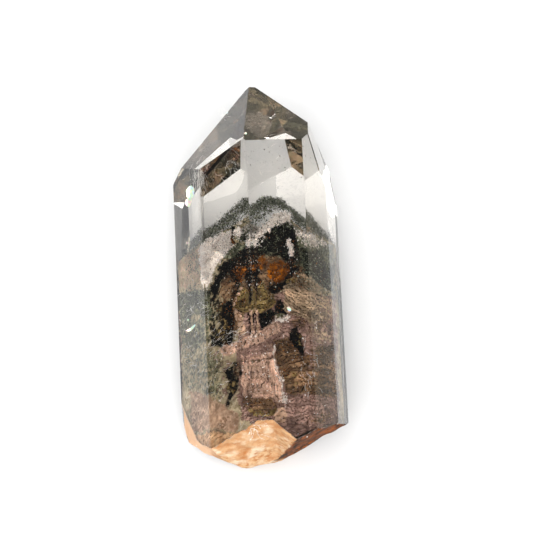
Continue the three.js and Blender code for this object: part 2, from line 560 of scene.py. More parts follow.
class Nodes:
    """A short hand for building a node tree."""

    def __init__(self, tree: bpy.types.NodeTree) -> None:
        """Keeps the tree, which may already hold nodes."""
        self.tree = tree

    def add(self, kind: str, links: dict | None = None, **settings: object) -> bpy.types.Node:
        """Adds a node.

        Args:
            kind: The node's type name.
            links: Input names or numbers, each with a socket to link or a plain value.
            settings: Attributes of the node, such as its operation.

        Returns:
            The new node.
        """
        node = self.tree.nodes.new(kind)
        for key, value in settings.items():
            setattr(node, key, value)
        for key, value in (links or {}).items():
            if isinstance(value, Socket):
                self.tree.links.new(value, node.inputs[key])
            else:
                node.inputs[key].default_value = value
        return node

    def maths(self, operation: str, *values: object) -> Socket:
        """The result of a maths node."""
        return self.add("ShaderNodeMath", dict(enumerate(values)), operation=operation).outputs[0]

    def mix(self, amount: object, first: object, second: object) -> Socket:
        """The result of mixing two colours."""
        return self.add("ShaderNodeMix", {0: amount, 6: first, 7: second}, data_type="RGBA").outputs[2]

    def multiply(self, first: object, second: object) -> Socket:
        """The product of two colours or values."""
        return self.add("ShaderNodeMix", {0: 1.0, 6: first, 7: second}, data_type="RGBA",
                        blend_type="MULTIPLY").outputs[2]

    def rise(self, value: object, low: float, high: float) -> Socket:
        """A smooth rise from 0 at low to 1 at high."""
        return self.add("ShaderNodeMapRange", {0: value, 1: low, 2: high},
                        interpolation_type="SMOOTHSTEP").outputs[0]

    def noise(self, place: object, size_mm: float, detail: float = 3.0) -> Socket:
        """Noise with lumps of about this size."""
        return self.add("ShaderNodeTexNoise", {"Vector": place, "Scale": 1 / (size_mm * MM),
                                               "Detail": detail}).outputs[0]

    def attribute(self, name: str) -> Socket:
        """A number stored on the mesh."""
        return self.add("ShaderNodeAttribute", attribute_name=name).outputs["Fac"]

    def bump(self, height: Socket, strength: float, rise_mm: float, shader: bpy.types.Node) -> None:
        """Lets a height tilt the shader's normal.

        Args:
            height: The height.
            strength: How strongly it shows.
            rise_mm: How far a height of 1 stands out, in millimetres.
            shader: The shader.
        """
        bump = self.add("ShaderNodeBump",
                        {"Height": height, "Strength": strength, "Distance": rise_mm * MM})
        self.link(bump.outputs[0], shader.inputs["Normal"])

    def link(self, source: Socket, target: Socket) -> None:
        """Links two sockets."""
        self.tree.links.new(source, target)


# The sRGB curve: straight up to the knee, and a power of the shifted value above it
KNEE = 0.04045
STRAIGHT = 12.92
LIFT = 0.055
POWER = 2.4


def srgb(red: int, green: int, blue: int) -> Colour:
    """Turns a colour as a screen shows it into one for a shader.

    Args:
        red: Its red, from 0 to 255.
        green: Its green.
        blue: Its blue.

    Returns:
        The colour with linear parts and full alpha.
    """
    parts = [c / 255 for c in (red, green, blue)]
    linear = [c / STRAIGHT if c <= KNEE else ((c + LIFT) / (1 + LIFT)) ** POWER for c in parts]
    return (*linear, 1.0)


def fresh_material(name: str, **values: object) -> tuple[bpy.types.Material, Nodes, bpy.types.Node]:
    """Starts a material with one principled shader.

    Args:
        name: The material's name.
        values: Plain values for the shader's sockets, with _ for each blank in a socket's name.

    Returns:
        The material, its nodes and its shader.
    """
    material = bpy.data.materials.new(name)
    material.use_nodes = True
    shader = material.node_tree.nodes["Principled BSDF"]
    for socket, value in values.items():
        shader.inputs[socket.replace("_", " ")].default_value = value
    return material, Nodes(material.node_tree), shader


@dataclass(frozen=True)
class Grain:
    """Packed grains, light and dark, in clusters of about size millimetres.

    A balance over 0.5 gives more light grains, and one under it more dark ones.
    """

    light: Colour
    dark: Colour
    size: float
    balance: float = 0.5


class GrainGroup:
    """The look of packed grains, as a node group that several finishes use.

    Clusters of grains lie on a wider bed, and where the bed is loose single grains stand out as specks.
    """

    NAME = "mineral_grain"
    INPUTS = (
        ("Light", "NodeSocketColor", (0.8, 0.8, 0.8, 1)), ("Dark", "NodeSocketColor", (0.1, 0.1, 0.1, 1)),
        ("Grain size", "NodeSocketFloat", 0.5), ("Balance", "NodeSocketFloat", 0.5),
    )
    OUTPUTS = (("Colour", "NodeSocketColor"), ("Height", "NodeSocketFloat"))
    CLUSTER_DETAIL = 5.0
    CLUSTER_ROUGHNESS = 0.62
    CLUSTER_SHARE = 0.7
    BED_SCALE = 0.35
    BED_DETAIL = 3.0
    BED_SHARE = 0.3
    LOOSE = (0.46, 0.62)
    SPECK_SCALE = 3.0
    SPECK_SHARE = 0.42
    CONTRAST = (0.3, 0.7)

    @classmethod
    def tree(cls) -> bpy.types.NodeTree:
        """The group, built once.

        Returns:
            The node tree, with Colour and Height as its outputs.
        """
        if cls.NAME in bpy.data.node_groups:
            return bpy.data.node_groups[cls.NAME]
        tree = bpy.data.node_groups.new(cls.NAME, "ShaderNodeTree")
        for name, kind, default in cls.INPUTS:
            socket = tree.interface.new_socket(name, in_out="INPUT", socket_type=kind)
            socket.default_value = default
        for name, kind in cls.OUTPUTS:
            tree.interface.new_socket(name, in_out="OUTPUT", socket_type=kind)
        nodes = Nodes(tree)
        given = nodes.add("NodeGroupInput").outputs
        height = cls.height(nodes, nodes.maths("DIVIDE", 1 / MM, given["Grain size"]))
        spread = nodes.maths("ADD", height, nodes.maths("SUBTRACT", given["Balance"], 0.5))
        colour = nodes.mix(nodes.rise(spread, *cls.CONTRAST), given["Dark"], given["Light"])
        nodes.add("NodeGroupOutput", {"Colour": colour, "Height": height})
        return tree

    @classmethod
    def height(cls, nodes: Nodes, scale: Socket) -> Socket:
        """How far the grains stand out.

        Args:
            nodes: The group's nodes.
            scale: How many clusters there are to a metre.

        Returns:
            The height, about 0.5 in the middle.
        """
        place = nodes.add("ShaderNodeTexCoord").outputs["Object"]
        kind = {"Detail": cls.CLUSTER_DETAIL, "Roughness": cls.CLUSTER_ROUGHNESS}
        clusters = nodes.add("ShaderNodeTexNoise", {"Vector": place, "Scale": scale, **kind}).outputs[0]
        wider = nodes.maths("MULTIPLY", scale, cls.BED_SCALE)
        bed = nodes.add("ShaderNodeTexNoise", {"Vector": place, "Scale": wider,
                                               "Detail": cls.BED_DETAIL}).outputs[0]
        single = nodes.maths("MULTIPLY", scale, cls.SPECK_SCALE)
        cells = nodes.add("ShaderNodeTexVoronoi", {"Vector": place, "Scale": single}).outputs["Color"]
        speck = nodes.maths("SUBTRACT", nodes.add("ShaderNodeSeparateColor", {0: cells}).outputs[0], 0.5)
        loose = nodes.maths("MULTIPLY", nodes.rise(bed, *cls.LOOSE), cls.SPECK_SHARE)
        packed = nodes.maths("ADD", nodes.maths("MULTIPLY", clusters, cls.CLUSTER_SHARE),
                             nodes.maths("MULTIPLY", bed, cls.BED_SHARE))
        return nodes.maths("ADD", packed, nodes.maths("MULTIPLY", speck, loose))

    @classmethod
    def place(cls, nodes: Nodes, grain: Grain) -> tuple[Socket, Socket]:
        """Puts the group in a material.

        Args:
            nodes: The material's nodes.
            grain: The grains that it shows.

        Returns:
            Their colour and their height.
        """
        values = {"Light": grain.light, "Dark": grain.dark, "Grain size": grain.size,
                  "Balance": grain.balance}
        node = nodes.add("ShaderNodeGroup", values, node_tree=cls.tree())
        return node.outputs["Colour"], node.outputs["Height"]


@dataclass(frozen=True)
class ClearQuartz:
    """Polished clear quartz, faintly smoky, with polishing marks that dull it a little here and there."""

    index: float = 1.544
    tint: Colour = (0.965, 0.935, 0.885, 1.0)
    density: float = 28.0
    mark_size: float = 1.1
    mark_range: Range = (0.5, 0.8)
    mark_roughness: float = 0.012

    def material(self) -> bpy.types.Material:
        """Builds the material.

        Returns:
            The material.
        """
        material, nodes, shader = fresh_material("clear_quartz", Transmission_Weight=1.0, IOR=self.index,
                                                 Base_Color=WHITE)
        place = nodes.add("ShaderNodeTexCoord").outputs["Object"]
        marks = nodes.rise(nodes.noise(place, self.mark_size), *self.mark_range)
        nodes.link(nodes.maths("MULTIPLY", marks, self.mark_roughness), shader.inputs["Roughness"])
        volume = nodes.add("ShaderNodeVolumeAbsorption", {"Color": self.tint, "Density": self.density})
        nodes.link(volume.outputs[0], nodes.tree.nodes["Material Output"].inputs["Volume"])
        return material


@dataclass(frozen=True)
class StainedBreak:
    """The broken end: rough quartz, frosted white in places and stained cream, orange and rust by iron;
    where it turns under, the rust is mixed with near-black painted shade.
    """

    skin: Grain = Grain(srgb(172, 138, 102), srgb(140, 84, 38), 1.7, 0.56)
    # Rust mixed with near-black painted shade, for the faces that turn under at the right
    under: Grain = Grain(srgb(136, 68, 4), srgb(14, 11, 4), 1.6, 0.46)
    white: Colour = srgb(186, 166, 142)
    frost_size: float = 2.6
    frost_detail: float = 5.0
    frost_range: Range = (0.48, 0.72)
    bleached: Colour = srgb(212, 172, 140)
    bleached_share: float = 0.7
    roughness: float = 0.7
    gloss: float = 0.15
    bump_strength: float = 0.8
    bump_height: float = 0.8

    def material(self) -> bpy.types.Material:
        """Builds the material.

        Returns:
            The material.
        """
        material, nodes, shader = fresh_material("stained_break", Roughness=self.roughness,
                                                 Specular_IOR_Level=self.gloss)
        place = nodes.add("ShaderNodeTexCoord").outputs["Object"]
        colour, height = GrainGroup.place(nodes, self.skin)
        frost = nodes.rise(nodes.noise(place, self.frost_size, self.frost_detail), *self.frost_range)
        colour = nodes.mix(frost, colour, self.white)
        faded = nodes.maths("MULTIPLY", nodes.attribute("bleached"), self.bleached_share)
        colour = nodes.mix(faded, colour, self.bleached)
        # Painted shade: where the faces turn under, rust is mixed with near-black
        rust_and_shade, _ = GrainGroup.place(nodes, self.under)
        nodes.link(nodes.mix(nodes.attribute("undercut"), colour, rust_and_shade), shader.inputs["Base Color"])
        nodes.bump(height, self.bump_strength, self.bump_height, shader)
        return material


@dataclass(frozen=True)
class PackedMinerals:
    """The phantom's finish: each mineral in its own grains on its patch, and thin layers with dark edges.

    ragged_size is the size of the notches in a patch's edge, and ragged_reach how far they cut into its
    mask.
    """

    haze: Grain = Grain(srgb(196, 180, 148), srgb(134, 118, 88), 1.6)
    # Painted shade: dark colour along the drop of each overlapping layer, where the gap between layers lies
    # in shadow
    layer_gap_shade: Colour = srgb(22, 13, 6)
    grains: tuple[tuple[Mineral, Grain], ...] = (
        (Mineral.CHLORITE, Grain(srgb(150, 148, 120), srgb(30, 34, 18), 0.7, 0.46)),
        (Mineral.MAUVE, Grain(srgb(166, 132, 118), srgb(60, 42, 36), 1.0, 0.52)),
        (Mineral.BROWN, Grain(srgb(144, 112, 82), srgb(28, 16, 8), 1.0, 0.52)),
        # Painted shade: near-black for the phantom's sunk hollows, gaps and pockets
        (Mineral.SHADOW, Grain(srgb(28, 22, 9), srgb(0, 0, 0), 1.0, 0.3)),
        (Mineral.RUST, Grain(srgb(180, 100, 8), srgb(36, 17, 2), 1.6, 0.46)),
        (Mineral.OLIVE, Grain(srgb(166, 140, 88), srgb(42, 33, 13), 0.9, 0.5)),
        (Mineral.PEACH, Grain(srgb(206, 172, 144), srgb(132, 101, 78), 1.2, 0.5)),
        (Mineral.FIBRE, Grain(srgb(222, 184, 160), srgb(116, 84, 66), 0.9, 0.54)),
        (Mineral.CLAY, Grain(srgb(188, 160, 130), srgb(56, 42, 28), 0.8, 0.54)),
        (Mineral.CREAM, Grain(srgb(255, 244, 232), srgb(164, 138, 120), 0.5, 0.6)),
        (Mineral.OCHRE, Grain(srgb(226, 188, 146), srgb(166, 112, 68), 1.6, 0.56)),
    )
    ragged_size: float = 0.8
    ragged_detail: float = 6.0
    ragged_reach: float = 1.8
    patch_edge: Range = (0.3, 0.7)
    gloss: float = 0.03
    gloss_size: float = 0.5
    gloss_range: Range = (0.3, 0.8)
    least_roughness: float = 0.35
    roughness_spread: float = 0.4
    bump_size: float = 0.5
    bump_detail: float = 6.0
    bump_strength: float = 0.3
    bump_height: float = 0.25
    layer_edge: Range = (0.6, 0.95)
    gap_size: float = 1.0
    gap_detail: float = 4.0
    gap_range: Range = (0.44, 0.62)
    tone_swing: float = 0.5

    def material(self) -> bpy.types.Material:
        """Builds the material.

        Returns:
            The material.
        """
        material, nodes, shader = fresh_material("packed_minerals", Specular_IOR_Level=self.gloss)
        place = nodes.add("ShaderNodeTexCoord").outputs["Object"]
        colour, height = self.patches(nodes, place)
        edge, tone = self.layers(nodes, place)
        colour = nodes.multiply(nodes.multiply(colour, nodes.attribute("shade")), tone)
        # Painted shade along the edges of the layers
        nodes.link(nodes.mix(edge, colour, self.layer_gap_shade), shader.inputs["Base Color"])
        dull = nodes.rise(nodes.noise(place, self.gloss_size), *self.gloss_range)
        dull = nodes.maths("MULTIPLY", dull, self.roughness_spread)
        nodes.link(nodes.maths("ADD", self.least_roughness, dull), shader.inputs["Roughness"])
        fine = nodes.maths("ADD", nodes.noise(place, self.bump_size, self.bump_detail), height)
        nodes.bump(nodes.maths("SUBTRACT", fine, edge), self.bump_strength, self.bump_height, shader)
        return material

    def patches(self, nodes: Nodes, place: Socket) -> tuple[Socket, Socket]:
        """Lays the minerals over the haze, one after the other, each with ragged edges.

        Args:
            nodes: The material's nodes.
            place: The place on the phantom.

        Returns:
            The colour, and the height of the haze's grains.
        """
        notches = nodes.maths("SUBTRACT", nodes.noise(place, self.ragged_size, self.ragged_detail), 0.5)
        ragged = nodes.maths("MULTIPLY", notches, self.ragged_reach)
        colour, height = GrainGroup.place(nodes, self.haze)
        for mineral, grain in self.grains:
            grains, _ = GrainGroup.place(nodes, grain)
            amount = nodes.maths("ADD", nodes.attribute(mineral.value), ragged)
            colour = nodes.mix(nodes.rise(amount, *self.patch_edge), colour, grains)
        return colour, height

    def layers(self, nodes: Nodes, place: Socket) -> tuple[Socket, Socket]:
        """The dark edges of the overlapping layers, and each layer's own tone.

        Args:
            nodes: The material's nodes.
            place: The place on the phantom.

        Returns:
            How dark an edge is, and the factor for the colour.
        """
        phase, scaly = nodes.attribute("layers"), nodes.attribute("scaly")
        broken = nodes.rise(nodes.noise(place, self.gap_size, self.gap_detail), *self.gap_range)
        edge = nodes.rise(nodes.maths("FRACT", phase), *self.layer_edge)
        edge = nodes.maths("MULTIPLY", edge, nodes.maths("MULTIPLY", broken, scaly))
        number = nodes.maths("FLOOR", phase)
        own = nodes.add("ShaderNodeTexWhiteNoise", {"W": number}, noise_dimensions="1D").outputs[0]
        swing = nodes.maths("MULTIPLY", nodes.maths("SUBTRACT", own, 0.5),
                            nodes.maths("MULTIPLY", scaly, self.tone_swing))
        return edge, nodes.maths("ADD", 1.0, swing)


@dataclass(frozen=True)
class Flakes:
    """Loose flakes and grains, pale to dark by each one's own tone."""

    name: str
    pale: Colour
    deep: Colour
    roughness: float = 0.4
    gloss: float = 0.04
    mottle: Grain = Grain(WHITE, (0.6, 0.6, 0.6, 1), 0.3)

    def material(self) -> bpy.types.Material:
        """Builds the material.

        Returns:
            The material.
        """
        material, nodes, shader = fresh_material(self.name, Roughness=self.roughness,
                                                 Specular_IOR_Level=self.gloss)
        mottle, _ = GrainGroup.place(nodes, self.mottle)
        colour = nodes.mix(nodes.attribute("tone"), self.deep, self.pale)
        nodes.link(nodes.multiply(colour, mottle), shader.inputs["Base Color"])
        return material


@dataclass
class BrokenEnd:
    """The fracture across the crystal's end, as a height over its cross-section.

    Each face is given by three points on it. The end is the outermost of the faces, but where a chip came
    off the front edge it is a groove between the scar's two. Sizes are in millimetres.
    """

    turned_under: Fracture = ((4.1, -39.3, 25.6), (13.5, -33.6, 14.8), (3.5, -38.2, 12))
    left_and_middle: tuple[Fracture, ...] = (
        ((-18.2, -26.4, 10), (-14.5, -37.6, 19.4), (-17.2, -32.5, 5)),
        ((-14.5, -37.6, 19.4), (-10.5, -41.1, 22.4), (-12.3, -37.2, 6)),
        ((-5.5, -41, 11), (2, -39.5, 11), (-2, -37.2, 0)),
    )
    low_corners: tuple[Fracture, ...] = (
        ((-5.5, -41, 11), (-12.3, -38.4, 12), (-9.2, -36.5, 0)),
        ((2, -39.5, 11), (10, -35.4, 12), (5.6, -34, 0)),
    )
    scar: tuple[Fracture, ...] = (
        ((-7.8, -37.6, 24.5), (-0.4, -35.7, 27.1), (-5.5, -41, 11)),
        ((-0.4, -35.7, 27.1), (4.1, -39.3, 25.6), (0.2, -39.9, 10)),
    )
    relief: float = 0.75
    ripples: Ripple = Ripple(3.0, 3)
    crumbs: Ripple = Ripple(0.9, 8)
    crumb_share: float = 0.5
    sunk: float = 0.2
    # The ragged edge and fade of the faces that turn under, which carry rust and painted shade
    undercut_edge: Ripple = Ripple(1.6, 130)
    undercut_edge_reach: float = 0.8
    undercut_fade: Range = (-0.15, 0.25)
    cell: float = 0.36
    low: tuple[float, float] = (-21.0, -3.0)
    high: tuple[float, float] = (18.0, 31.0)
    past_tip: float = 5.0

    @staticmethod
    def on_planes(faces: tuple[Fracture, ...], x: Array, z: Array) -> Array:
        """Finds the heights of the planes of several faces.

        Args:
            faces: The faces, each with three points.
            x: Where, along X.
            z: Where, along Z.

        Returns:
            One row of heights for each face.
        """
        rows = []
        for face in faces:
            a, b, c = (np.array(p, float) for p in face)
            normal = np.cross(b - a, c - a)
            rows.append((normal @ a - normal[0] * x - normal[2] * z) / normal[1])
        return np.array(rows)

    def heights(self, x: Array, z: Array) -> Array:
        """How far towards the butt the quartz reaches.

        Args:
            x: Where, along X.
            z: Where, along Z.

        Returns:
            The fracture's place along Y.
        """
        faces = (self.turned_under, *self.left_and_middle, *self.low_corners)
        outermost = self.on_planes(faces, x, z).max(axis=0)
        groove = self.on_planes(self.scar, x, z).min(axis=0)
        flat = np.stack([x, np.zeros_like(x), z], axis=1)
        ripple = self.ripples.at(flat) + self.crumb_share * self.crumbs.at(flat)
        return np.maximum(outermost, groove) + self.relief * (ripple - self.sunk)

    def undercut(self, x: Array, z: Array) -> Array:
        """How far the face that turns under at the right makes up the fracture.

        Args:
            x: Where, along X.
            z: Where, along Z.

        Returns:
            A value from 0 to 1, with a ragged edge.
        """
        under = self.on_planes((self.turned_under,), x, z)[0]
        others = self.on_planes(self.left_and_middle, x, z).max(axis=0)
        groove = self.on_planes(self.scar, x, z).min(axis=0)
        ragged = self.undercut_edge_reach * (self.undercut_edge.at(np.stack([x, z, z], axis=1)) - 0.5)
        return step(under - np.maximum(others, groove) + ragged, *self.undercut_fade)

    def cutter(self, layout: Layout, tip: float) -> bpy.types.Object:
        """Makes a block that holds everything on the tip's side of the fracture.

        Args:
            layout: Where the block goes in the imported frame.
            tip: Where the crystal's tip is along its axis.

        Returns:
            The block, to cut the crystal with.
        """
        columns, rows = (int((high - low) / self.cell) for low, high in zip(self.low, self.high))
        x, z = np.meshgrid(np.linspace(self.low[0], self.high[0], columns),
                           np.linspace(self.low[1], self.high[1], rows))
        x, z = x.ravel(), z.ravel()
        near = np.stack([x, self.heights(x, z), z], axis=1)
        far = np.stack([x, np.full_like(x, tip + self.past_tip), z], axis=1)
        rim = [*range(columns), *range(2 * columns - 1, rows * columns, columns),
               *range(rows * columns - 2, (rows - 1) * columns - 1, -1),
               *range((rows - 2) * columns, 0, -columns)]
        starts = [j * columns + i for j in range(rows - 1) for i in range(columns - 1)]
        faces = [(k, k + 1, k + columns + 1, k + columns) for k in starts]
        corners = [len(x) + k for k in range(len(rim))]
        following = np.roll(np.arange(len(rim)), -1)
        faces += [(rim[k], corners[k], corners[n], rim[n]) for k, n in enumerate(following)]
        faces.append(tuple(corners[::-1]))
        return new_object("fracture_cutter", layout.metres(np.concatenate([near, far[rim]])), faces, [])


@dataclass
class QuartzPoint:
    """The clear crystal: crisp polished faces, softened edges and a broken end.

    A face of the mesh is on the fracture when it lies within fracture_slack of it and has no more than
    fracture_corners corners, or when it is deeper than rim under all the polished faces. The stain fades
    from the first to the second bleached distance to the left of the axes' origin.
    """

    habit: Habit
    layout: Layout
    broken: BrokenEnd
    edge_wear: float = 0.12
    edge_segments: int = 2
    edge_profile: float = 0.6
    fracture_slack: float = 0.12
    fracture_corners: int = 4
    rim: float = 0.15
    bleached: Range = (11.0, 13.5)

    def build(self) -> bpy.types.Object:
        """Makes the crystal and dresses it.

        Returns:
            The crystal, with its broken end.
        """
        shape = self.polished()
        materials = [ClearQuartz().material(), StainedBreak().material()]
        point = new_object("clear_crystal", np.zeros((0, 3)), [], materials)
        shape.to_mesh(point.data)
        shape.free()
        cutter = self.broken.cutter(self.layout, self.habit.tip)
        cut = point.modifiers.new("broken_end", "BOOLEAN")
        cut.operation, cut.solver, cut.object = "INTERSECT", "EXACT", cutter
        bake_modifiers(point)
        bpy.data.objects.remove(cutter)
        self.mark_break(point)
        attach(point, "root")
        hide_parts("quartz_crystal")
        return point

    def polished(self) -> bmesh.types.BMesh:
        """The prism and its termination with worn edges, before it broke.

        Returns:
            The shape, in metres.
        """
        ends = (np.array([[0.0, 1.0, 0.0], [0.0, -1.0, 0.0]]),
                np.array([self.habit.tip - self.habit.chipped_tip, self.habit.butt]))
        shape = convex_body(joined(self.habit.planes(), ends), self.layout)
        bmesh.ops.bevel(shape, geom=shape.edges[:], offset=self.edge_wear * MM, segments=self.edge_segments,
                        profile=self.edge_profile, affect="EDGES", clamp_overlap=True)
        bmesh.ops.recalc_face_normals(shape, faces=shape.faces[:])
        return shape

    def mark_break(self, point: bpy.types.Object) -> None:
        """Gives the fracture's faces the stained finish, rust mixed with painted shade where they turn
        under at the right.

        Args:
            point: The crystal.
        """
        centres = read_values(point.data.polygons, "center", 3) / MM - self.layout.shift
        gaps = np.abs(centres[:, 1] - self.broken.heights(centres[:, 0], centres[:, 2]))
        normals, reaches = self.habit.planes()
        depths = (reaches - centres @ normals.T).min(axis=1)
        for polygon, gap, depth in zip(point.data.polygons, gaps, depths):
            on_it = gap < self.fracture_slack and len(polygon.vertices) <= self.fracture_corners
            polygon.material_index = int(on_it or depth > self.rim)
        points = mesh_points(point, self.layout)
        put_attribute(point, "undercut", self.broken.undercut(points[:, 0], points[:, 2]))
        put_attribute(point, "bleached", step(-points[:, 0], *self.bleached))


@dataclass(frozen=True)
class Layering:
    """A stack of thin layers: how far they are counted across X and along Y, and how thick one is."""

    across: float
    along: float
    thickness: float

    def count(self, points: Array) -> Array:
        """The number of layers up to each point."""
        return (self.along * points[:, 1] + self.across * points[:, 0]) / self.thickness


@dataclass
class Phantom:
    """The mass of chlorite, clay and iron stain that grew over with clear quartz.

    Its places and sizes are in millimetres, and those of its patches in pixels of the photograph, where its
    front shows them. Each group of patches is named for what it shows there, and a later one lies over an
    earlier one. A shoulder is its top facet, the side of X that its wall faces and how far out the wall is.
    scaly says how much of each mineral lies in overlapping layers, and stands how far each one stands out
    and how grainy it is.
    """

    habit: Habit
    layout: Layout
    sight: Sight
    broken: BrokenEnd
    depth: float = 2.1
    solid_depth: float = 2.35
    facets: tuple[Facet, ...] = (
        Facet(162, 56, 12.0), Facet(54, 75.9, 12.9), Facet(7.8, 48.3, 15.6),
        Facet(250, 42, 14.8), Facet(300, 42, 15.2),
    )
    crest: tuple[Facet, ...] = (Facet(160.8, 45.6, 6.9), Facet(89.5, 77.8, 9.2), Facet(6.5, 46.0, 13.7))
    shoulders: tuple[tuple[Facet, float, float], ...] = (
        (Facet(162.9, 68.1, 8.1), 1.0, -4.2),
        (Facet(33.0, 71.5, 8.0), -1.0, -7.5),
    )
    grain: float = 0.28
    butt: float = 41.0
    cover_under_break: float = 0.8
    scaly: tuple[tuple[Mineral, float], ...] = (
        (Mineral.CLAY, 1.0), (Mineral.BROWN, 0.9), (Mineral.MAUVE, 0.7), (Mineral.OLIVE, 0.7),
        (Mineral.FIBRE, 0.4), (Mineral.PEACH, 0.15),
    )
    left_faces: Patches = (
        Area(Mineral.PEACH, ((174, 236), (200, 232), (207, 250), (206, 290), (176, 292)), 5, 0.5),
        Patch(Mineral.RUST, 187, 247, 6, 6, 0, 0.6),
        Area(Mineral.CHLORITE, ((176, 293), (208, 289), (209, 318), (196, 315), (185, 322), (176, 320)), 4),
        Patch(Mineral.CHLORITE, 184, 314, 4, 6),
        Area(Mineral.CHLORITE, ((177, 320), (208, 318), (209, 347), (178, 347)), 5, 0.7),
        Area(Mineral.CHLORITE, ((178, 345), (225, 350), (227, 400), (205, 396), (180, 388)), 7, 0.5),
        Area(Mineral.MAUVE, ((207, 344), (242, 350), (244, 402), (226, 404), (208, 380)), 5, 0.4),
        Area(Mineral.CHLORITE, ((206, 352), (222, 356), (222, 396), (206, 392)), 6, 0.25),
        Area(Mineral.PEACH, ((188, 391), (205, 395), (226, 404), (241, 418), (236, 436), (202, 441),
                             (190, 424)), 4, 0.9),
    )
    green_cap: Patches = (
        Area(Mineral.CHLORITE, ((204, 240), (214, 225), (230, 204), (250, 200), (250, 240), (228, 262)), 4),
        Area(Mineral.CHLORITE, ((250, 214), (275, 198), (300, 216), (334, 246), (336, 292), (304, 272),
                                (252, 250)), 4),
    )
    dark_hollow: Patches = (
        Area(Mineral.BROWN, ((226, 258), (306, 258), (302, 330), (232, 336)), 4),
        Area(Mineral.SHADOW, ((250, 230), (238, 251), (222, 262), (209, 284), (209, 346), (229, 347),
                              (233, 322), (230, 302), (239, 284), (250, 268)), 3),
        Area(Mineral.SHADOW, ((205, 284), (214, 282), (214, 346), (206, 346)), 3, 0.6),
        Area(Mineral.OLIVE, ((211, 300), (222, 302), (228, 330), (224, 346), (211, 344)), 4, 0.4),
        Area(Mineral.CHLORITE, ((209, 300), (216, 296), (218, 326), (210, 338)), 3, 0.5),
        Patch(Mineral.BROWN, 225, 288, 8, 14, 15, 0.75),
        Patch(Mineral.RUST, 242, 274, 8, 9, 0, 0.6),
        Area(Mineral.SHADOW, ((251, 242), (262, 234), (275, 221), (290, 221), (303, 234), (306, 262),
                              (297, 273), (284, 290), (277, 298), (264, 281), (251, 294)), 3),
        Area(Mineral.SHADOW, ((306, 246), (322, 250), (333, 272), (334, 292), (322, 284),
                              (308, 268)), 4, 0.85),
        Patch(Mineral.BROWN, 272, 268, 15, 16, 0, 0.7),
        Patch(Mineral.RUST, 279, 271, 11, 10),
        Patch(Mineral.RUST, 262, 262, 5, 8, 0, 0.6),
    )
    twin_points: Patches = (
        Area(Mineral.MAUVE, ((250, 300), (284, 290), (336, 296), (340, 430), (300, 440), (240, 420),
                             (236, 340)), 4),
        Area(Mineral.OLIVE, ((240, 284), (231, 299), (231, 308), (238, 312), (251, 312), (251, 297)), 1.2),
        Vein(Mineral.FIBRE, ((240, 288), (234, 299), (233, 306)), 1.6, 0.7),
        Area(Mineral.PEACH, ((231, 306), (238, 309), (243, 318), (246, 333), (241, 336), (236, 322)), 1.5),
        Area(Mineral.SHADOW, ((248, 313), (254.5, 312), (255, 334), (249, 334)), 0.8),
        Area(Mineral.OLIVE, ((250, 296), (257, 288), (264, 281), (270, 288), (277, 299), (272, 307),
                             (262, 312), (250, 312)), 1.2),
        Area(Mineral.SHADOW, ((246, 262), (259, 262), (258, 284), (254, 305), (250, 305), (244, 282)), 1.2),
        Vein(Mineral.CLAY, ((266, 286), (272, 297)), 1.6, 0.6),
        Area(Mineral.PEACH, ((255, 309), (258, 310), (259.5, 334), (255.5, 335)), 0.8),
        Area(Mineral.SHADOW, ((260, 313), (272, 306), (277, 312), (272, 322), (262, 330)), 2.2, 0.95),
        Area(Mineral.SHADOW, ((277, 298), (282, 297), (287, 308), (289, 314), (280, 315),
                              (275, 310)), 2, 0.95),
    )
    right_hump: Patches = (
        Area(Mineral.MAUVE, ((303, 316), (333, 314), (335, 346), (307, 348)), 4, 0.85),
        Area(Mineral.CLAY, ((306, 318), (333, 314), (334, 344), (311, 344)), 4, 0.5),
        Area(Mineral.CLAY, ((284, 292), (289, 281), (297, 275), (304, 272.5), (313, 277), (321, 287),
                            (332, 300), (333, 318), (318, 321), (303, 319), (292, 314), (286, 309)), 2),
        Area(Mineral.OLIVE, ((314, 280), (332, 292), (334, 332), (320, 330), (312, 318)), 5, 0.4),
        Patch(Mineral.OLIVE, 292, 281, 5, 4, -30, 0.7),
        Patch(Mineral.SHADOW, 313, 287, 1.6, 3, 0, 0.8),
        Patch(Mineral.CHLORITE, 280, 314, 5, 3, -20, 0.7),
    )
    crumbly_ledge: Patches = (
        Area(Mineral.CREAM, ((273, 321), (279, 317), (288, 314), (290, 318), (284, 324),
                             (274, 327)), 1.5, 0.6),
        Area(Mineral.MAUVE, ((284, 324), (292, 316), (305, 320), (307, 334), (296, 337), (278, 338),
                             (275, 329)), 2.5),
        Patch(Mineral.BROWN, 298, 323, 8, 5, 0, 0.6),
        Patch(Mineral.CREAM, 314, 324, 2.4, 4, 20, 0.4),
        Patch(Mineral.BROWN, 320, 325, 4, 3, 0, 0.6),
    )
    brown_flank: Patches = (
        Area(Mineral.BROWN, ((274, 340), (290, 338), (300, 352), (310, 356), (310, 392), (287, 394),
                             (280, 372)), 3),
        Patch(Mineral.OLIVE, 293, 379, 6, 9, 0, 0.35),
        Area(Mineral.BROWN, ((312, 348), (335, 344), (338, 402), (311, 400)), 4),
        Area(Mineral.SHADOW, ((291, 328), (297, 327), (302, 336), (305, 345), (308, 355), (301, 354),
                              (296, 347), (290, 339)), 3, 0.9),
        Area(Mineral.MAUVE, ((285, 394), (338, 398), (340, 424), (316, 431), (300, 440), (286, 425)), 4),
        Patch(Mineral.BROWN, 320, 418, 12, 6, -10, 0.5),
    )
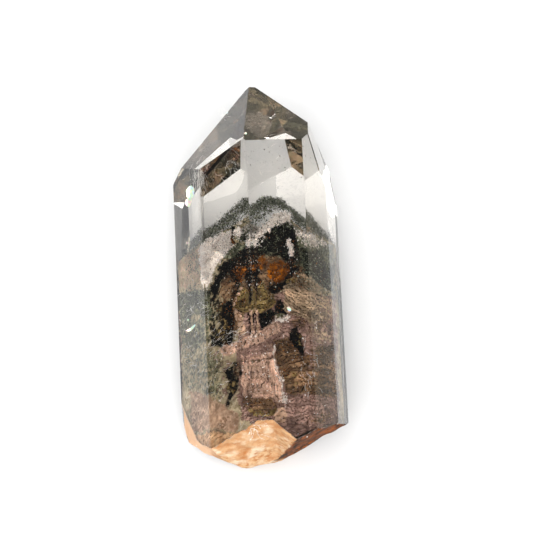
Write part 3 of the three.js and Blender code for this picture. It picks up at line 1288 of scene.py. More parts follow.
    pale_block: Patches = (
        Vein(Mineral.FIBRE, ((226, 350), (243, 343), (262, 335), (276, 327)), 5.5, 0.85),
        Area(Mineral.FIBRE, ((241, 357), (254, 350), (272, 342), (276, 350), (279, 370), (285, 402),
                             (262, 400), (243, 398), (240, 380)), 2),
        Area(Mineral.MAUVE, ((242, 353), (258, 346), (273, 343), (274, 352), (256, 357),
                             (243, 361)), 2, 0.7),
        Vein(Mineral.BROWN, ((241, 362), (258, 361), (274, 357)), 1.0, 0.7),
        Vein(Mineral.OLIVE, ((258, 361), (257, 374), (258, 392)), 2.2, 0.5),
        Vein(Mineral.BROWN, ((270, 370), (268, 390)), 1.6, 0.5),
        Vein(Mineral.BROWN, ((249, 372), (247, 392)), 1.4, 0.4),
        Vein(Mineral.CREAM, ((273.5, 346), (275.5, 362), (279.5, 380), (284.5, 402), (286, 411)), 1.5, 0.5),
        Area(Mineral.SHADOW, ((234, 361), (239, 367), (243, 374), (237, 380), (237, 391), (229, 398),
                              (227, 386), (224, 373)), 3, 0.9),
        Patch(Mineral.BROWN, 236, 371, 4, 6, 0, 0.6),
        Vein(Mineral.SHADOW, ((229, 394), (227, 404)), 2.2, 0.6),
        Patch(Mineral.OLIVE, 231, 385, 4, 8, 10, 0.4),
        Patch(Mineral.OLIVE, 299, 340, 4, 7, -20, 0.35),
    )
    foot: Patches = (
        Area(Mineral.BROWN, ((241, 398), (252, 395), (262, 398), (274, 397), (276, 408), (262, 416),
                             (248, 413)), 5, 0.75),
        Vein(Mineral.OLIVE, ((249, 411), (262, 414), (275, 411)), 2.6, 0.8),
        Patch(Mineral.PEACH, 281, 416, 7, 10, 0, 0.7),
        Patch(Mineral.MAUVE, 220, 436, 18, 6, 10, 0.6),
        Area(Mineral.OCHRE, ((188, 436), (212, 433), (236, 433), (246, 432), (240, 466), (204, 466)), 4),
    )
    cream_bands: Patches = (
        Area(Mineral.CREAM, ((248, 217), (236, 226), (226, 232), (215, 236), (206, 240), (201, 252),
                             (202, 270), (205, 289), (209, 281), (218, 263), (229, 248), (240, 236),
                             (249, 228)), 2),
        Vein(Mineral.CREAM, ((250, 240), (259, 232), (271, 220), (277, 216), (286, 216)), 6.2),
        Vein(Mineral.CREAM, ((286, 215), (293, 220), (301, 229), (312, 237)), 2.6, 0.6),
        Patch(Mineral.CREAM, 316, 240, 13, 6, 20, 0.6),
        # A bright flake: its pale colour and the glint on it, a painted highlight, laid on as a short cream
        # streak
        Vein(Mineral.CREAM, ((290.5, 241), (292, 246), (293.5, 254)), 1.7),
    )
    notches: tuple[Ripple, Ripple] = (Ripple(3.2, 50), Ripple(3.2, 60))
    notch_pixels: float = 5.0
    fray: tuple[Ripple, Ripple] = (Ripple(1.1, 70), Ripple(1.1, 80))
    fray_pixels: float = 4.0
    turned: Point = (-1.0, 1.0, -1.0)
    turned_about: Point = (-3.3, -2.0, 28.0)
    back_slack: float = 4.0
    front_fade: Range = (0.02, 0.22)
    shade_base: float = 0.35
    clouds: Ripple = Ripple(2.6, 44)
    cloud_share: float = 1.3
    mottles: Ripple = Ripple(0.8, 47)
    mottle_share: float = 0.5
    shade_range: Range = (0.3, 1.5)
    level_layers: Layering = Layering(-0.2, 0.95, 0.8)
    slanting_layers: Layering = Layering(0.57, 0.82, 0.62)
    upright_ribs: Layering = Layering(1.0, 0.0, 0.9)
    ribs_below: Range = (9.5, 12.0)
    layer_waves: Ripple = Ripple(2.6, 40)
    wave_reach: float = 3.2
    slanting_calm: float = 1.8
    layer_jitter: Ripple = Ripple(0.8, 43)
    jitter_reach: float = 0.9
    granules: Ripple = Ripple(0.8, 20)
    granule_rise: float = 0.25
    swells: Ripple = Ripple(4.0, 30)
    swell_rise: float = 1.6
    swell_middle: float = 0.62
    stands: tuple[tuple[Mineral, float, float], ...] = (
        (Mineral.CREAM, 0.4, 1.3), (Mineral.SHADOW, -1.3, -1.6), (Mineral.RUST, -0.8, 0.0),
        (Mineral.CHLORITE, -0.5, 1.0),
    )
    fibre_spacing: float = 1.1
    fibre_waves: Ripple = Ripple(4.0, 33)
    fibre_wander: float = 0.8
    fibre_rise: float = 0.15
    layer_rise: float = 0.5
    rise_range: Range = (-3.5, 0.7)

    @property
    def patches(self) -> Patches:
        """All the patches, in the order in which they are laid on."""
        return (*self.left_faces, *self.green_cap, *self.dark_hollow, *self.twin_points, *self.right_hump,
                *self.crumbly_ledge, *self.brown_flank, *self.pale_block, *self.foot, *self.cream_bands)

    def shell(self) -> Planes:
        """The outer surface, which the phantom's dust reaches."""
        return joined(self.habit.sides(self.depth), self.habit.ends(self.facets))

    def solids(self) -> list[Planes]:
        """The convex bodies that make up the solid part: its middle and its two shoulders.

        Returns:
            The planes of each body.
        """
        around = joined(self.habit.sides(self.solid_depth), self.habit.ends(self.facets[-2:]),
                        (np.array([[0.0, -1.0, 0.0]]), np.array([self.butt])))
        bodies = [joined(around, self.habit.ends(self.crest))]
        for top, side, reach in self.shoulders:
            wall = (np.array([[side, 0.0, 0.0]]), np.array([reach]))
            bodies.append(joined(around, self.habit.ends((top,)), wall))
        return bodies

    def build(self) -> bpy.types.Object:
        """Makes the solid part of the phantom and dresses it.

        Returns:
            The phantom, with the masks that its finish reads.
        """
        body = self.raw_body()
        points, normals = mesh_points(body, self.layout), mesh_normals(body)
        masks = self.masks(points, normals)
        scaly = sum(share * masks[mineral] for mineral, share in self.scaly)
        layers = self.layers(points, masks)
        rise = self.relief(points, masks, scaly * (layers - np.floor(layers) - 0.5))
        mottle = self.mottle_share * (self.mottles.at(points) - 0.5)
        tone = self.shade_base + self.cloud_share * self.clouds.at(points) + mottle
        shade = np.clip(tone, *self.shade_range)
        points = points + normals * rise[:, None]
        lowest = self.broken.heights(points[:, 0], points[:, 2]) + self.cover_under_break
        points[:, 1] = np.maximum(points[:, 1], lowest)
        body.data.vertices.foreach_set("co", self.layout.metres(points).astype(np.float32).ravel())
        body.data.update()
        kept = {mineral.value: mask for mineral, mask in masks.items()}
        for name, values in {**kept, "scaly": scaly, "layers": layers, "shade": shade}.items():
            put_attribute(body, name, values)
        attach(body, "root")
        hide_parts("chlorite_phantom")
        return body

    def raw_body(self) -> bpy.types.Object:
        """Joins the convex bodies under one skin of fine cells.

        Returns:
            The body, still smooth.
        """
        shape = bmesh.new()
        for planes in self.solids():
            part = convex_body(planes, self.layout)
            bmesh.ops.recalc_face_normals(part, faces=part.faces[:])
            spare = bpy.data.meshes.new("part")
            part.to_mesh(spare)
            part.free()
            shape.from_mesh(spare)
            bpy.data.meshes.remove(spare)
        body = new_object("mineral_phantom", np.zeros((0, 3)), [], [PackedMinerals().material()])
        shape.to_mesh(body.data)
        shape.free()
        skin = body.modifiers.new("grains", "REMESH")
        skin.mode, skin.voxel_size = "VOXEL", self.grain * MM
        bake_modifiers(body)
        return body

    def masks(self, points: Array, normals: Array) -> dict[Mineral, Array]:
        """How much of each mineral lies at each point.

        The front carries the patches where the photograph shows them. The back carries the same ones as
        they would be with the crystal turned over about its axis.

        Args:
            points: Points on the phantom.
            normals: Its outward directions there.

        Returns:
            A value from 0 to 1 for each mineral and point.
        """
        notches, fray = (np.stack([ripple.at(points) for ripple in pair], axis=1) - 0.5
                         for pair in (self.notches, self.fray))
        blur = self.notch_pixels * notches + self.fray_pixels * fray
        turned = np.array(self.turned)
        front, square = self.sight.seen_at(points, normals)
        back, _ = self.sight.seen_at(points * turned + self.turned_about, normals * turned, self.back_slack)
        share = step(square, *self.front_fade)
        order = list(Mineral)
        found = {mineral: np.zeros(len(points)) for mineral in order}
        for patch in self.patches:
            amount = share * patch.cover(front + blur) + (1 - share) * patch.cover(back + blur)
            for mineral in order[order.index(patch.mineral):]:
                found[mineral] *= 1 - amount
            found[patch.mineral] += amount
        return found

    def layers(self, points: Array, masks: dict[Mineral, Array]) -> Array:
        """Counts the overlapping layers: slanting on the hump, upright in the fibres and level elsewhere.

        Args:
            points: Points on the phantom.
            masks: How much of each mineral lies there.

        Returns:
            The number of layers up to each point.
        """
        share = masks[Mineral.CLAY]
        upright = masks[Mineral.FIBRE] * step(-points[:, 1], *self.ribs_below)
        flat = self.level_layers.count(points) * (1 - share) + self.slanting_layers.count(points) * share
        phase = flat * (1 - upright) + self.upright_ribs.count(points) * upright
        wander = self.wave_reach - self.slanting_calm * share
        return (phase + wander * self.layer_waves.at(points)
                + self.jitter_reach * self.layer_jitter.at(points))

    def relief(self, points: Array, masks: dict[Mineral, Array], steps: Array) -> Array:
        """How far the surface stands out, in millimetres.

        Args:
            points: Points on the phantom.
            masks: How much of each mineral lies there.
            steps: The slope of the overlapping layers, from -0.5 to 0.5.

        Returns:
            One value for each point, less than 0 where it is hollow.
        """
        granular = self.granules.at(points) - 0.5
        rise = self.swell_rise * (self.swells.at(points) - self.swell_middle) + self.granule_rise * granular
        for mineral, stand, grainy in self.stands:
            rise += masks[mineral] * (stand + grainy * granular)
        turns = points[:, 0] / self.fibre_spacing + self.fibre_wander * self.fibre_waves.at(points)
        rise += masks[Mineral.FIBRE] * self.fibre_rise * (np.sin(2 * np.pi * turns) + 1)
        return np.clip(rise + self.layer_rise * steps, *self.rise_range)


@dataclass
class FlakeCloud:
    """Small flat flakes of mineral, joined in one mesh.

    Each is a double cone over a rim of a few corners, which are turned by up to corner_jitter of a step
    and lie between least_reach and that with reach_spread added of the flake's size from its middle.
    """

    name: str
    finish: Flakes
    layout: Layout
    slot: str = "chlorite"
    sides: int = 5
    thickness: float = 0.3
    corner_jitter: float = 0.6
    least_reach: float = 0.65
    reach_spread: float = 0.5

    def build(self, centres: Array, radii: Array, tones: Array, seed: int) -> bpy.types.Object:
        """Makes the flakes.

        Args:
            centres: Their middles, in millimetres.
            radii: Their sizes.
            tones: How pale each one is, from 0 to 1.
            seed: Fixes their random turns.

        Returns:
            The joined mesh.
        """
        rng = np.random.default_rng(seed)
        count, sides = len(centres), self.sides
        up = rng.normal(size=(count, 3))
        up /= np.linalg.norm(up, axis=1)[:, None]
        side = np.cross(up, rng.normal(size=(count, 3)))
        side /= np.linalg.norm(side, axis=1)[:, None]
        other = np.cross(up, side)
        angles = 2 * np.pi * (np.arange(sides) + self.corner_jitter * rng.random((count, sides))) / sides
        reach = radii[:, None] * (self.least_reach + self.reach_spread * rng.random((count, sides)))
        rim = (centres[:, None] + side[:, None] * (reach * np.cos(angles))[:, :, None]
               + other[:, None] * (reach * np.sin(angles))[:, :, None])
        half = up * (radii * self.thickness)[:, None]
        points = np.concatenate([rim, (centres + half)[:, None], (centres - half)[:, None]], axis=1)
        corner = np.arange(sides)
        following = np.roll(corner, -1)
        top = np.stack([corner, following, np.full(sides, sides)], axis=1)
        bottom = np.stack([following, corner, np.full(sides, sides + 1)], axis=1)
        faces = np.concatenate([top, bottom]) + (np.arange(count) * (sides + 2))[:, None, None]
        cloud = new_object(self.name, self.layout.metres(points.reshape(-1, 3)),
                           faces.reshape(-1, 3).tolist(), [self.finish.material()])
        put_attribute(cloud, "tone", np.repeat(tones, sides + 2))
        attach(cloud, "root")
        return cloud


@dataclass(frozen=True)
class Scatter:
    """Flakes or grains strewn over the phantom.

    They lie up to stand millimetres over its skin, have up to about size millimetres of reach, and are
    shared out over the minerals by shares. A tone_bend over 1 makes most of them dark, and one under 1
    most of them pale.
    """

    name: str
    finish: Flakes
    stand: float
    size: float
    shares: tuple[tuple[Mineral, float], ...]
    count: int
    tone_bend: float = 1.6


@dataclass(frozen=True)
class Cap:
    """The cap of green flakes over the phantom's tip.

    The flakes are drawn in a block from low to high, in millimetres. They lie about an edge that wanders
    under the outer shell, thin out over fade millimetres, and leave the minerals in bare open where the
    camera sees them.
    """

    flakes: int = 19000
    draws: int = 60
    low: Point = (-15, -8, 2)
    high: Point = (14, 16, 27)
    edge: Ripple = Ripple(2.5, 90)
    edge_reach: float = 1.6
    edge_middle: float = 0.3
    fade: float = 0.7
    over_solid: Range = (-0.6, 0.2)
    under_shell: Range = (-0.9, 0.3)
    tufts: Ripple = Ripple(1.8, 95)
    tuft_range: Range = (0.3, 0.6)
    between_tufts: float = 0.15
    bare: tuple[Mineral, ...] = (Mineral.CREAM, Mineral.SHADOW, Mineral.RUST)
    bared: float = 0.9
    least_size: float = 0.06
    size_spread: float = 0.17
    tone_clouds: Ripple = Ripple(2.2, 97)
    cloud_tone: float = 0.7
    pale_share: float = 0.12
    pale_tone: float = 0.6
    finish: Flakes = Flakes("cap_chlorite", srgb(178, 180, 160), srgb(22, 30, 17), 0.45)
    size_bend: int = 2
    seed: int = 11

    def build(self, phantom: Phantom) -> bpy.types.Object:
        """Makes the cap, between the crest of the solid part and the outer shell.

        Args:
            phantom: The phantom that it lies on.

        Returns:
            The joined flakes.
        """
        rng = np.random.default_rng(self.seed)
        spots = rng.uniform(self.low, self.high, (self.draws * self.flakes, 3))
        normals, reaches = phantom.shell()
        under = (reaches - spots @ normals.T).min(axis=1)
        above = np.min([(spots @ n.T - r).max(axis=1) for n, r in phantom.solids()], axis=0)
        edge = self.edge_reach * (self.edge.at(spots) - self.edge_middle)
        chance = np.exp(-np.abs(under - edge) / self.fade) * step(above, *self.over_solid)
        chance *= step(under, *self.under_shell)
        chance *= self.between_tufts + step(self.tufts.at(spots), *self.tuft_range)
        kept = spots[rng.random(len(spots)) < chance]
        towards = np.tile(-phantom.sight.axes()[1], (len(kept), 1))
        pixels, _ = phantom.sight.seen_at(kept, towards)
        openings = [patch for patch in phantom.patches if patch.mineral in self.bare]
        bare = np.max([patch.cover(pixels) for patch in openings], axis=0)
        kept = kept[rng.random(len(kept)) > self.bared * bare][:self.flakes]
        radii = self.least_size + self.size_spread * rng.random(len(kept)) ** self.size_bend
        tones = self.cloud_tone * self.tone_clouds.at(kept) * rng.random(len(kept))
        tones += self.pale_tone * (rng.random(len(kept)) < self.pale_share)
        cloud = FlakeCloud("chlorite_cap", self.finish, phantom.layout)
        return cloud.build(kept, radii, np.clip(tones, 0, 1), self.seed + 1)


@dataclass
class Dust:
    """The loose minerals on the phantom's faces, in patches of their own kind with a few strays."""

    phantom: Phantom
    scatters: tuple[Scatter, ...] = (
        Scatter("green_flakes", Flakes("green_chlorite", srgb(130, 134, 108), srgb(20, 27, 14), 0.4),
                0.7, 0.17, ((Mineral.CHLORITE, 1.0), (Mineral.SHADOW, 0.1), (Mineral.OLIVE, 0.2)), 7000),
        Scatter("cream_grains", Flakes("pale_grains", srgb(255, 248, 240), srgb(204, 182, 166), 0.5),
                0.7, 0.22, ((Mineral.CREAM, 1.0), (Mineral.FIBRE, 0.02)), 18000, 0.6),
        Scatter("rust_specks", Flakes("iron_stained_grains", srgb(172, 102, 36), srgb(46, 22, 6), 0.5),
                0.5, 0.14, ((Mineral.RUST, 1.0), (Mineral.BROWN, 0.5), (Mineral.SHADOW, 0.25),
                            (Mineral.OLIVE, 0.4)), 5000),
        Scatter("bright_specks", Flakes("white_mica", srgb(255, 253, 250), srgb(210, 200, 190), 0.2),
                1.0, 0.11, ((Mineral.MAUVE, 0.6), (Mineral.PEACH, 0.5), (Mineral.FIBRE, 1.0),
                            (Mineral.BROWN, 0.5), (Mineral.CHLORITE, 0.6), (Mineral.SHADOW, 0.01)), 1100),
    )
    strays: float = 0.0008
    mask_bend: int = 2
    cluster_size: float = 1.7
    cluster_seed: int = 60
    cluster_range: Range = (0.35, 0.6)
    between_clusters: float = 0.02
    stand_bend: float = 1.6
    jitter: float = 0.12
    least_size: float = 0.35
    size_bend: int = 2
    thickness: float = 0.45
    seed: int = 31

    def build(self, body: bpy.types.Object) -> list[bpy.types.Object]:
        """Makes the flakes and grains.

        Args:
            body: The phantom's solid part, with its masks.

        Returns:
            One joined mesh for each kind.
        """
        points, normals = mesh_points(body, self.phantom.layout), mesh_normals(body)
        made = []
        for number, kind in enumerate(self.scatters):
            patchy = sum(share * self.mask(body, mineral) ** self.mask_bend
                         for mineral, share in kind.shares)
            field = rough(points, self.cluster_size, self.cluster_seed + number)
            clusters = step(field, *self.cluster_range)
            weight = (self.strays + patchy) * (clusters + self.between_clusters)
            rng = np.random.default_rng(self.seed + number)
            chosen = rng.choice(len(points), kind.count, p=weight / weight.sum())
            lift = kind.stand * rng.random((kind.count, 1)) ** self.stand_bend
            spots = points[chosen] + normals[chosen] * lift + rng.normal(0, self.jitter, (kind.count, 3))
            radii = kind.size * (self.least_size + rng.random(kind.count) ** self.size_bend)
            tones = rng.random(kind.count) ** kind.tone_bend
            cloud = FlakeCloud(kind.name, kind.finish, self.phantom.layout, thickness=self.thickness)
            made.append(cloud.build(spots, radii, tones, number))
        return made

    @staticmethod
    def mask(body: bpy.types.Object, mineral: Mineral) -> Array:
        """How much of one mineral lies at each vertex of the phantom."""
        return read_values(body.data.attributes[mineral.value].data, "value", 1)[:, 0]


@dataclass(frozen=True)
class ThreadField:
    """An area of the photograph in which white threads show.

    Its place and size are in pixels and its depth under the faces in millimetres. The threads are turned
    by turn degrees, give or take spread radians.
    """

    x: float
    y: float
    wide: float
    high: float
    count: int
    depth: Range
    turn: float
    spread: float = 0.5


@dataclass(frozen=True)
class GlintingEdge:
    """An edge of the crystal with painted highlights, tiny white flakes, along it between two pixels of the
    photograph.
    """

    start: Pixel
    end: Pixel
    edge_glints: int


@dataclass
class VeilsAndEdgeGlints:
    """White threads of tiny flakes, where fractures in the quartz healed, and painted highlights of white
    flakes along its edges.
    """

    sight: Sight
    layout: Layout
    fields: tuple[ThreadField, ...] = (
        ThreadField(190, 355, 12, 45, 34, (0.6, 2.2), -40, 0.7),
        ThreadField(215, 360, 14, 40, 36, (0.6, 2.6), -35, 0.8),
        ThreadField(192, 305, 14, 18, 26, (0.5, 2.0), -30, 0.8),
        ThreadField(232, 338, 14, 9, 20, (0.5, 2.2), -20, 0.6),
        ThreadField(199, 172, 6, 12, 60, (1.0, 4.0), 84, 0.14),
        ThreadField(200, 198, 2, 16, 40, (0.8, 3.0), 88, 0.08),
        ThreadField(224, 112, 6, 6, 8, (0.3, 1.0), 40, 0.8),
        ThreadField(226, 168, 12, 20, 14, (1.0, 6.0), 55, 0.3),
        ThreadField(214, 215, 18, 14, 12, (1.0, 6.0), 20, 0.6),
        ThreadField(308, 365, 10, 30, 14, (0.8, 2.2), 70, 0.5),
        ThreadField(250, 424, 14, 8, 16, (0.5, 1.8), 10, 0.8),
        ThreadField(268, 160, 16, 22, 6, (2.0, 14.0), 0, 1.2),
    )
    links: int = 34
    lengths: Range = (0.8, 3.6)
    bend: float = 0.5
    fluff: float = 0.035
    # Painted highlights: tiny white flakes just under the faces along these edges stand for the bright
    # lines of their bevels
    glinting_edges: tuple[GlintingEdge, ...] = (
        GlintingEdge((199.5, 188), (208.5, 325), 420), GlintingEdge((243.8, 142), (252.5, 300), 260),
        GlintingEdge((304.5, 140), (302.5, 235), 160), GlintingEdge((324.7, 205), (336, 390), 220),
    )
    glint_crowding: float = 1.2
    glint_pixels: float = 0.35
    glint_depth: float = 0.2
    least_size: float = 0.03
    size_spread: float = 0.05
    # One white finish for the real veils and the painted edge highlights
    finish: Flakes = Flakes("white_veil_and_edge_glint", srgb(255, 253, 250), srgb(226, 218, 208), 0.3)
    seed: int = 41

    def build(self) -> bpy.types.Object:
        """Makes the threads and the painted edge highlights from tiny flakes.

        Returns:
            The joined flakes.
        """
        rng = np.random.default_rng(self.seed)
        chains = [chain for area in self.fields for chain in self.threads(area, rng)]
        spots = np.concatenate(chains) + rng.normal(0, self.fluff, (len(chains) * self.links, 3))
        spots = np.concatenate([spots, *(self.edge_glints(edge, rng) for edge in self.glinting_edges)])
        radii = self.least_size + self.size_spread * rng.random(len(spots))
        cloud = FlakeCloud("veil_threads_and_edge_glints", self.finish, self.layout)
        return cloud.build(spots, radii, rng.random(len(spots)), self.seed + 1)

    def threads(self, area: ThreadField, rng: np.random.Generator) -> list[Array]:
        """Lays out one area's threads.

        Args:
            area: The area.
            rng: The source of chance.

        Returns:
            The places of the links of each thread.
        """
        _, _, right, up = self.sight.axes()
        pixels = rng.normal((area.x, area.y), (area.wide / 2, area.high / 2), (area.count, 2))
        start, inner, _ = self.sight.enter(pixels)
        start += inner * rng.uniform(*area.depth, (area.count, 1))
        turn = np.radians(area.turn) + rng.normal(0, area.spread, area.count)
        bend = rng.normal(0, self.bend, area.count)
        chains = []
        for i, length in enumerate(rng.uniform(*self.lengths, area.count)):
            along = np.linspace(-0.5, 0.5, self.links) * length
            angle = turn[i] + bend[i] * along
            way = np.cos(angle)[:, None] * right - np.sin(angle)[:, None] * up
            chains.append(start[i] + np.cumsum(way, axis=0) * length / self.links)
        return chains

    def edge_glints(self, edge: GlintingEdge, rng: np.random.Generator) -> Array:
        """Lays out the painted highlights of one edge, which crowd towards its start.

        Args:
            edge: The edge.
            rng: The source of chance.

        Returns:
            The places of the highlight flakes.
        """
        along = rng.random((edge.edge_glints, 1)) ** self.glint_crowding
        pixels = np.array(edge.start) * (1 - along) + np.array(edge.end) * along
        pixels = pixels + rng.normal(0, self.glint_pixels, (edge.edge_glints, 2))
        entry, inner, _ = self.sight.enter(pixels)
        return entry + inner * self.glint_depth


@dataclass(frozen=True)
class GlintFilm:
    """The thin film of air in a fresh fracture: painted reflection, a pale finish with pastel bands of
    colour.
    """

    name: str = "glint_film"
    band_size: float = 1.4
    band_detail: float = 2.0
    bands: float = 2.4
    strength: float = 0.3
    # Painted reflection: the film is kept pale so that the fracture looks as bright as the light that it
    # reflects
    brightness: float = 0.92
    roughness: float = 0.2

    def material(self) -> bpy.types.Material:
        """Builds the material.

        Returns:
            The material.
        """
        material, nodes, shader = fresh_material(self.name, Roughness=self.roughness)
        place = nodes.add("ShaderNodeTexCoord").outputs["Object"]
        thickness = nodes.noise(place, self.band_size, self.band_detail)
        hue = nodes.maths("FRACT", nodes.maths("MULTIPLY", thickness, self.bands))
        pastel = nodes.add("ShaderNodeCombineColor", {"Red": hue, "Green": self.strength,
                                                      "Blue": self.brightness}, mode="HSV")
        nodes.link(pastel.outputs[0], shader.inputs["Base Color"])
        return material


@dataclass(frozen=True)
class Oval:
    """A small fracture or chip that shows as a painted glint, seen at a pixel of the photograph.

    wide and high are its half sizes in pixels, turn its tilt in degrees, clockwise, and depth how far it
    lies under the face, in millimetres.
    """

    x: float
    y: float
    wide: float
    high: float
    turn: float
    depth: float


@dataclass
class GlintingFractures:
    """Small fractures just under the faces, painted bright as painted reflection, each a closed thin lens
    with a ragged rim.
    """

    sight: Sight
    layout: Layout
    # Painted reflection: each oval is a bright patch where a fracture or an edge chip catches the light
    ovals: tuple[Oval, ...] = (
        Oval(191, 192, 7.0, 6.5, 8, 0.7), Oval(189, 202, 6.0, 5.0, -12, 0.8),
        Oval(192, 328, 8.5, 1.8, -24, 0.6), Oval(289, 309, 1.8, 2.6, -20, 0.6),
        Oval(188, 320, 2.0, 1.4, 0, 0.6), Oval(187, 243, 2.2, 1.4, 20, 0.6),
        Oval(245.5, 133.5, 1.4, 1.6, 0, 0.15), Oval(227, 113, 2.4, 0.7, -36, 0.15),
    )
    rings: int = 6
    around: int = 36
    half_thickness: float = 0.02
    wave: float = 0.075
    waves_around: int = 3
    rag_size: float = 0.5
    rag_seed: int = 120
    rag_spacing: float = 3.0
    least_reach: float = 0.6
    rag_reach: float = 0.7
    weld_mm: float = 0.001

    def build(self) -> bpy.types.Object:
        """Makes the films.

        Returns:
            The joined lenses.
        """
        points, faces = [], []
        for number, oval in enumerate(self.ovals):
            for side in (1, -1):
                faces += self.half_faces(sum(len(p) for p in points), side)
                points.append(self.half_points(oval, number, side))
        film = new_object("glinting_fractures", self.layout.metres(np.concatenate(points)), faces,
                          [GlintFilm().material()])
        weld = film.modifiers.new("closed_rims", "WELD")
        weld.merge_threshold = self.weld_mm * MM
        bake_modifiers(film)
        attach(film, "root")
        return film

    def half_points(self, oval: Oval, number: int, side: int) -> Array:
        """Lays out one side of a lens in rings about its middle.

        Args:
            oval: The fracture.
            number: Which one it is, for its own ragged rim.
            side: 1 for the side that faces inwards, -1 for the other.

        Returns:
            The rings from the innermost outwards, and then the middle.
        """
        _, _, right, up = self.sight.axes()
        start, inner, _ = self.sight.enter(np.array([[oval.x, oval.y]]))
        middle = start[0] + inner[0] * oval.depth
        angle = np.linspace(0, 2 * np.pi, self.around, endpoint=False)
        level = np.full(self.around, self.rag_spacing * number)
        rim = np.stack([np.cos(angle), np.sin(angle), level], axis=1)
        ragged = self.least_reach + self.rag_reach * rough(rim, self.rag_size, self.rag_seed + number)
        tilt = np.radians(oval.turn)
        rows = []
        for ring in range(1, self.rings + 1):
            part = ring / self.rings
            across = part * ragged * np.cos(angle) * oval.wide * self.sight.mm_per_pixel
            along = part * ragged * np.sin(angle) * oval.high * self.sight.mm_per_pixel
            wave = self.wave * part * np.cos(self.waves_around * angle)
            deep = side * self.half_thickness * (1 - part**2) + wave
            rows.append(middle + (across * np.cos(tilt) - along * np.sin(tilt))[:, None] * right
                        - (across * np.sin(tilt) + along * np.cos(tilt))[:, None] * up
                        + deep[:, None] * inner[0])
        return np.concatenate([*rows, (middle + side * self.half_thickness * inner[0])[None]])

    def half_faces(self, base: int, side: int) -> list[tuple[int, ...]]:
        """Joins the rings of one side of a lens.

        Args:
            base: The number of its first point.
            side: 1 for the side that faces inwards, -1 for the other.

        Returns:
            The faces, as the numbers of their points.
        """
        centre = base + self.rings * self.around
        faces = []
        for k in range(self.around):
            n = (k + 1) % self.around
            faces.append((centre, base + k, base + n)[::side])
            for low in range(base, centre - self.around, self.around):
                top = low + self.around
                faces.append((low + k, top + k, top + n, low + n)[::side])
        return faces


@dataclass(frozen=True)
class SpeckField:
    """A rectangle of the photograph, in pixels, in which dark specks show."""

    left: float
    right: float
    top: float
    bottom: float
    count: int


@dataclass
class Specks:
    """Dark specks that float in the clear end of the quartz, at depths and of sizes in millimetres."""

    sight: Sight
    layout: Layout
    fields: tuple[SpeckField, ...] = (
        SpeckField(250, 286, 142, 196, 110), SpeckField(286, 302, 140, 180, 40),
        SpeckField(304, 330, 145, 205, 36), SpeckField(206, 240, 150, 196, 60),
        SpeckField(178, 208, 200, 232, 30),
    )
    depth: Range = (0.4, 7.0)
    least_size: float = 0.05
    size_spread: float = 0.12
    size_bend: int = 4
    finish: Flakes = Flakes("dark_speck", srgb(96, 88, 72), srgb(24, 20, 14), 0.5)
    seed: int = 51

    def build(self) -> bpy.types.Object:
        """Makes the specks.

        Returns:
            The joined specks.
        """
        rng = np.random.default_rng(self.seed)
        spots = []
        for field in self.fields:
            pixels = rng.uniform((field.left, field.top), (field.right, field.bottom), (field.count, 2))
            start, inner, _ = self.sight.enter(pixels)
            spots.append(start + inner * rng.uniform(*self.depth, (field.count, 1)))
        spots = np.concatenate(spots)
        radii = self.least_size + self.size_spread * rng.random(len(spots)) ** self.size_bend
        cloud = FlakeCloud("dark_specks", self.finish, self.layout)
        return cloud.build(spots, radii, rng.random(len(spots)), self.seed + 1)


@dataclass(frozen=True)
class SoftLight:
    """A broad glow of the studio's walls: its direction, its strength and where its edge starts and ends.

    The edge is given by the cosine of the angle from its middle.
    """

    towards: Point
    strength: float
    edge: Range


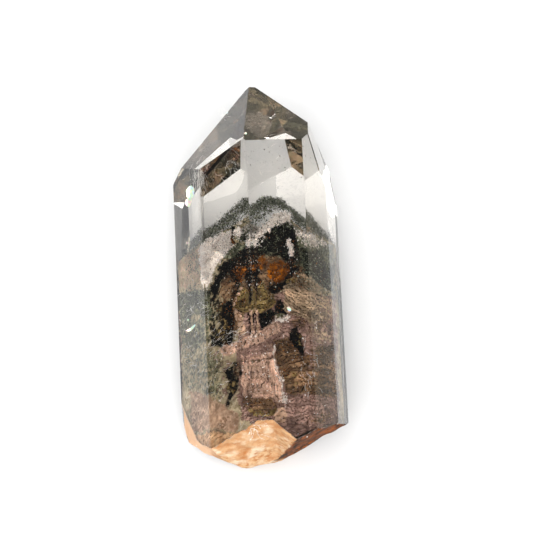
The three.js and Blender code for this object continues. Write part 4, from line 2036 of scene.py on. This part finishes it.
@dataclass
class Studio:
    """A pale floor, soft light and the photograph's camera.

    The floor is a white sheet about the crystal that fades to a darker table, sheet being how far from
    its middle, in metres, the fade starts and ends.
    """

    sight: Sight
    layout: Layout
    floor_half: float = 1.2
    floor_drop: float = 0.0001
    floor_roughness: float = 0.9
    sheet: Range = (0.055, 0.08)
    sheet_middle: float = 0.004
    sheet_tones: tuple[Colour, Colour] = ((0.475, 0.475, 0.475, 1.0), (0.495, 0.495, 0.495, 1.0))
    cloud_size: float = 60.0
    table: Colour = (0.3, 0.275, 0.225, 1.0)
    room: float = 0.15
    lights: tuple[SoftLight, ...] = (
        SoftLight((-0.25, -0.3, 0.92), 5.3, (0.62, 0.9)),
        SoftLight((0.55, -0.75, 0.37), 2.4, (0.6, 0.88)),
    )
    bounces: int = 20
    clear_bounces: int = 18
    film_width: float = 36.0
    clip: Range = (0.01, 10.0)

    def build(self) -> None:
        """Makes the floor, the world, the lights and the camera."""
        half, drop = self.floor_half, self.floor_drop
        corners = [(-half, -half, -drop), (half, -half, -drop), (half, half, -drop), (-half, half, -drop)]
        new_object("studio_floor", corners, [(0, 1, 2, 3)], [self.floor_material()])
        self.world()
        self.camera()

    def floor_material(self) -> bpy.types.Material:
        """Builds the floor's material.

        Returns:
            The material.
        """
        material, nodes, shader = fresh_material("studio_floor", Roughness=self.floor_roughness)
        place = nodes.add("ShaderNodeTexCoord").outputs["Object"]
        near = nodes.mix(nodes.noise(place, self.cloud_size), *self.sheet_tones)
        x, y, _ = nodes.add("ShaderNodeSeparateXYZ", {0: place}).outputs
        along = nodes.maths("ABSOLUTE", nodes.maths("SUBTRACT", y, self.sheet_middle))
        away = nodes.maths("MAXIMUM", nodes.maths("ABSOLUTE", x), along)
        nodes.link(nodes.mix(nodes.rise(away, *self.sheet), near, self.table), shader.inputs["Base Color"])
        return material

    def world(self) -> None:
        """Surrounds the crystal with a dim room, a broad soft light overhead and a lower one at the right.

        It also sets how light bounces and how its brightness is shown.
        """
        world = bpy.data.worlds.new("studio_world")
        world.use_nodes = True
        nodes = Nodes(world.node_tree)
        way = nodes.add("ShaderNodeTexCoord").outputs["Generated"]
        glow = self.room
        for light in self.lights:
            facing = nodes.add("ShaderNodeVectorMath", {0: way, 1: light.towards}, operation="DOT_PRODUCT")
            lit = nodes.rise(facing.outputs["Value"], *light.edge)
            glow = nodes.maths("MULTIPLY_ADD", lit, light.strength, glow)
        background = world.node_tree.nodes["Background"]
        background.inputs["Color"].default_value = WHITE
        nodes.link(glow, background.inputs["Strength"])
        scene = bpy.context.scene
        scene.world = world
        scene.view_settings.view_transform = "Standard"
        scene.cycles.max_bounces = self.bounces
        scene.cycles.transmission_bounces = self.clear_bounces

    def camera(self) -> None:
        """Sets the camera at the photograph's viewing angle."""
        place, forward, right, up = self.sight.axes()
        data = bpy.data.cameras.new("photo_camera")
        data.sensor_width = self.film_width
        data.lens = data.sensor_width * self.sight.focal / self.sight.frame_pixels
        data.clip_start, data.clip_end = self.clip
        camera = bpy.data.objects.new("photo_camera", data)
        turn = Matrix((right, up, -forward)).transposed().to_4x4()
        camera.matrix_world = Matrix.Translation(self.layout.vector(tuple(place))) @ turn
        bpy.context.scene.collection.objects.link(camera)
        bpy.context.scene.camera = camera


def main() -> None:
    """Builds the crystal and its setting in order."""
    logging.basicConfig(level=logging.INFO, format="%(message)s")
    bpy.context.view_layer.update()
    habit = Habit()
    layout = Layout(habit)
    sight = Sight(habit)
    broken = BrokenEnd()
    Studio(sight, layout).build()
    point = QuartzPoint(habit, layout, broken).build()
    phantom = Phantom(habit, layout, sight, broken)
    body = phantom.build()
    cap = Cap().build(phantom)
    dust = Dust(phantom).build(body)
    veils_and_glints = VeilsAndEdgeGlints(sight, layout).build()
    glints = GlintingFractures(sight, layout).build()
    specks = Specks(sight, layout).build()
    for piece in (point, body, cap, *dust, veils_and_glints, glints, specks):
        LOG.info("%s: %d faces", piece.name, len(piece.data.polygons))


if __name__ == "__main__":
    main()
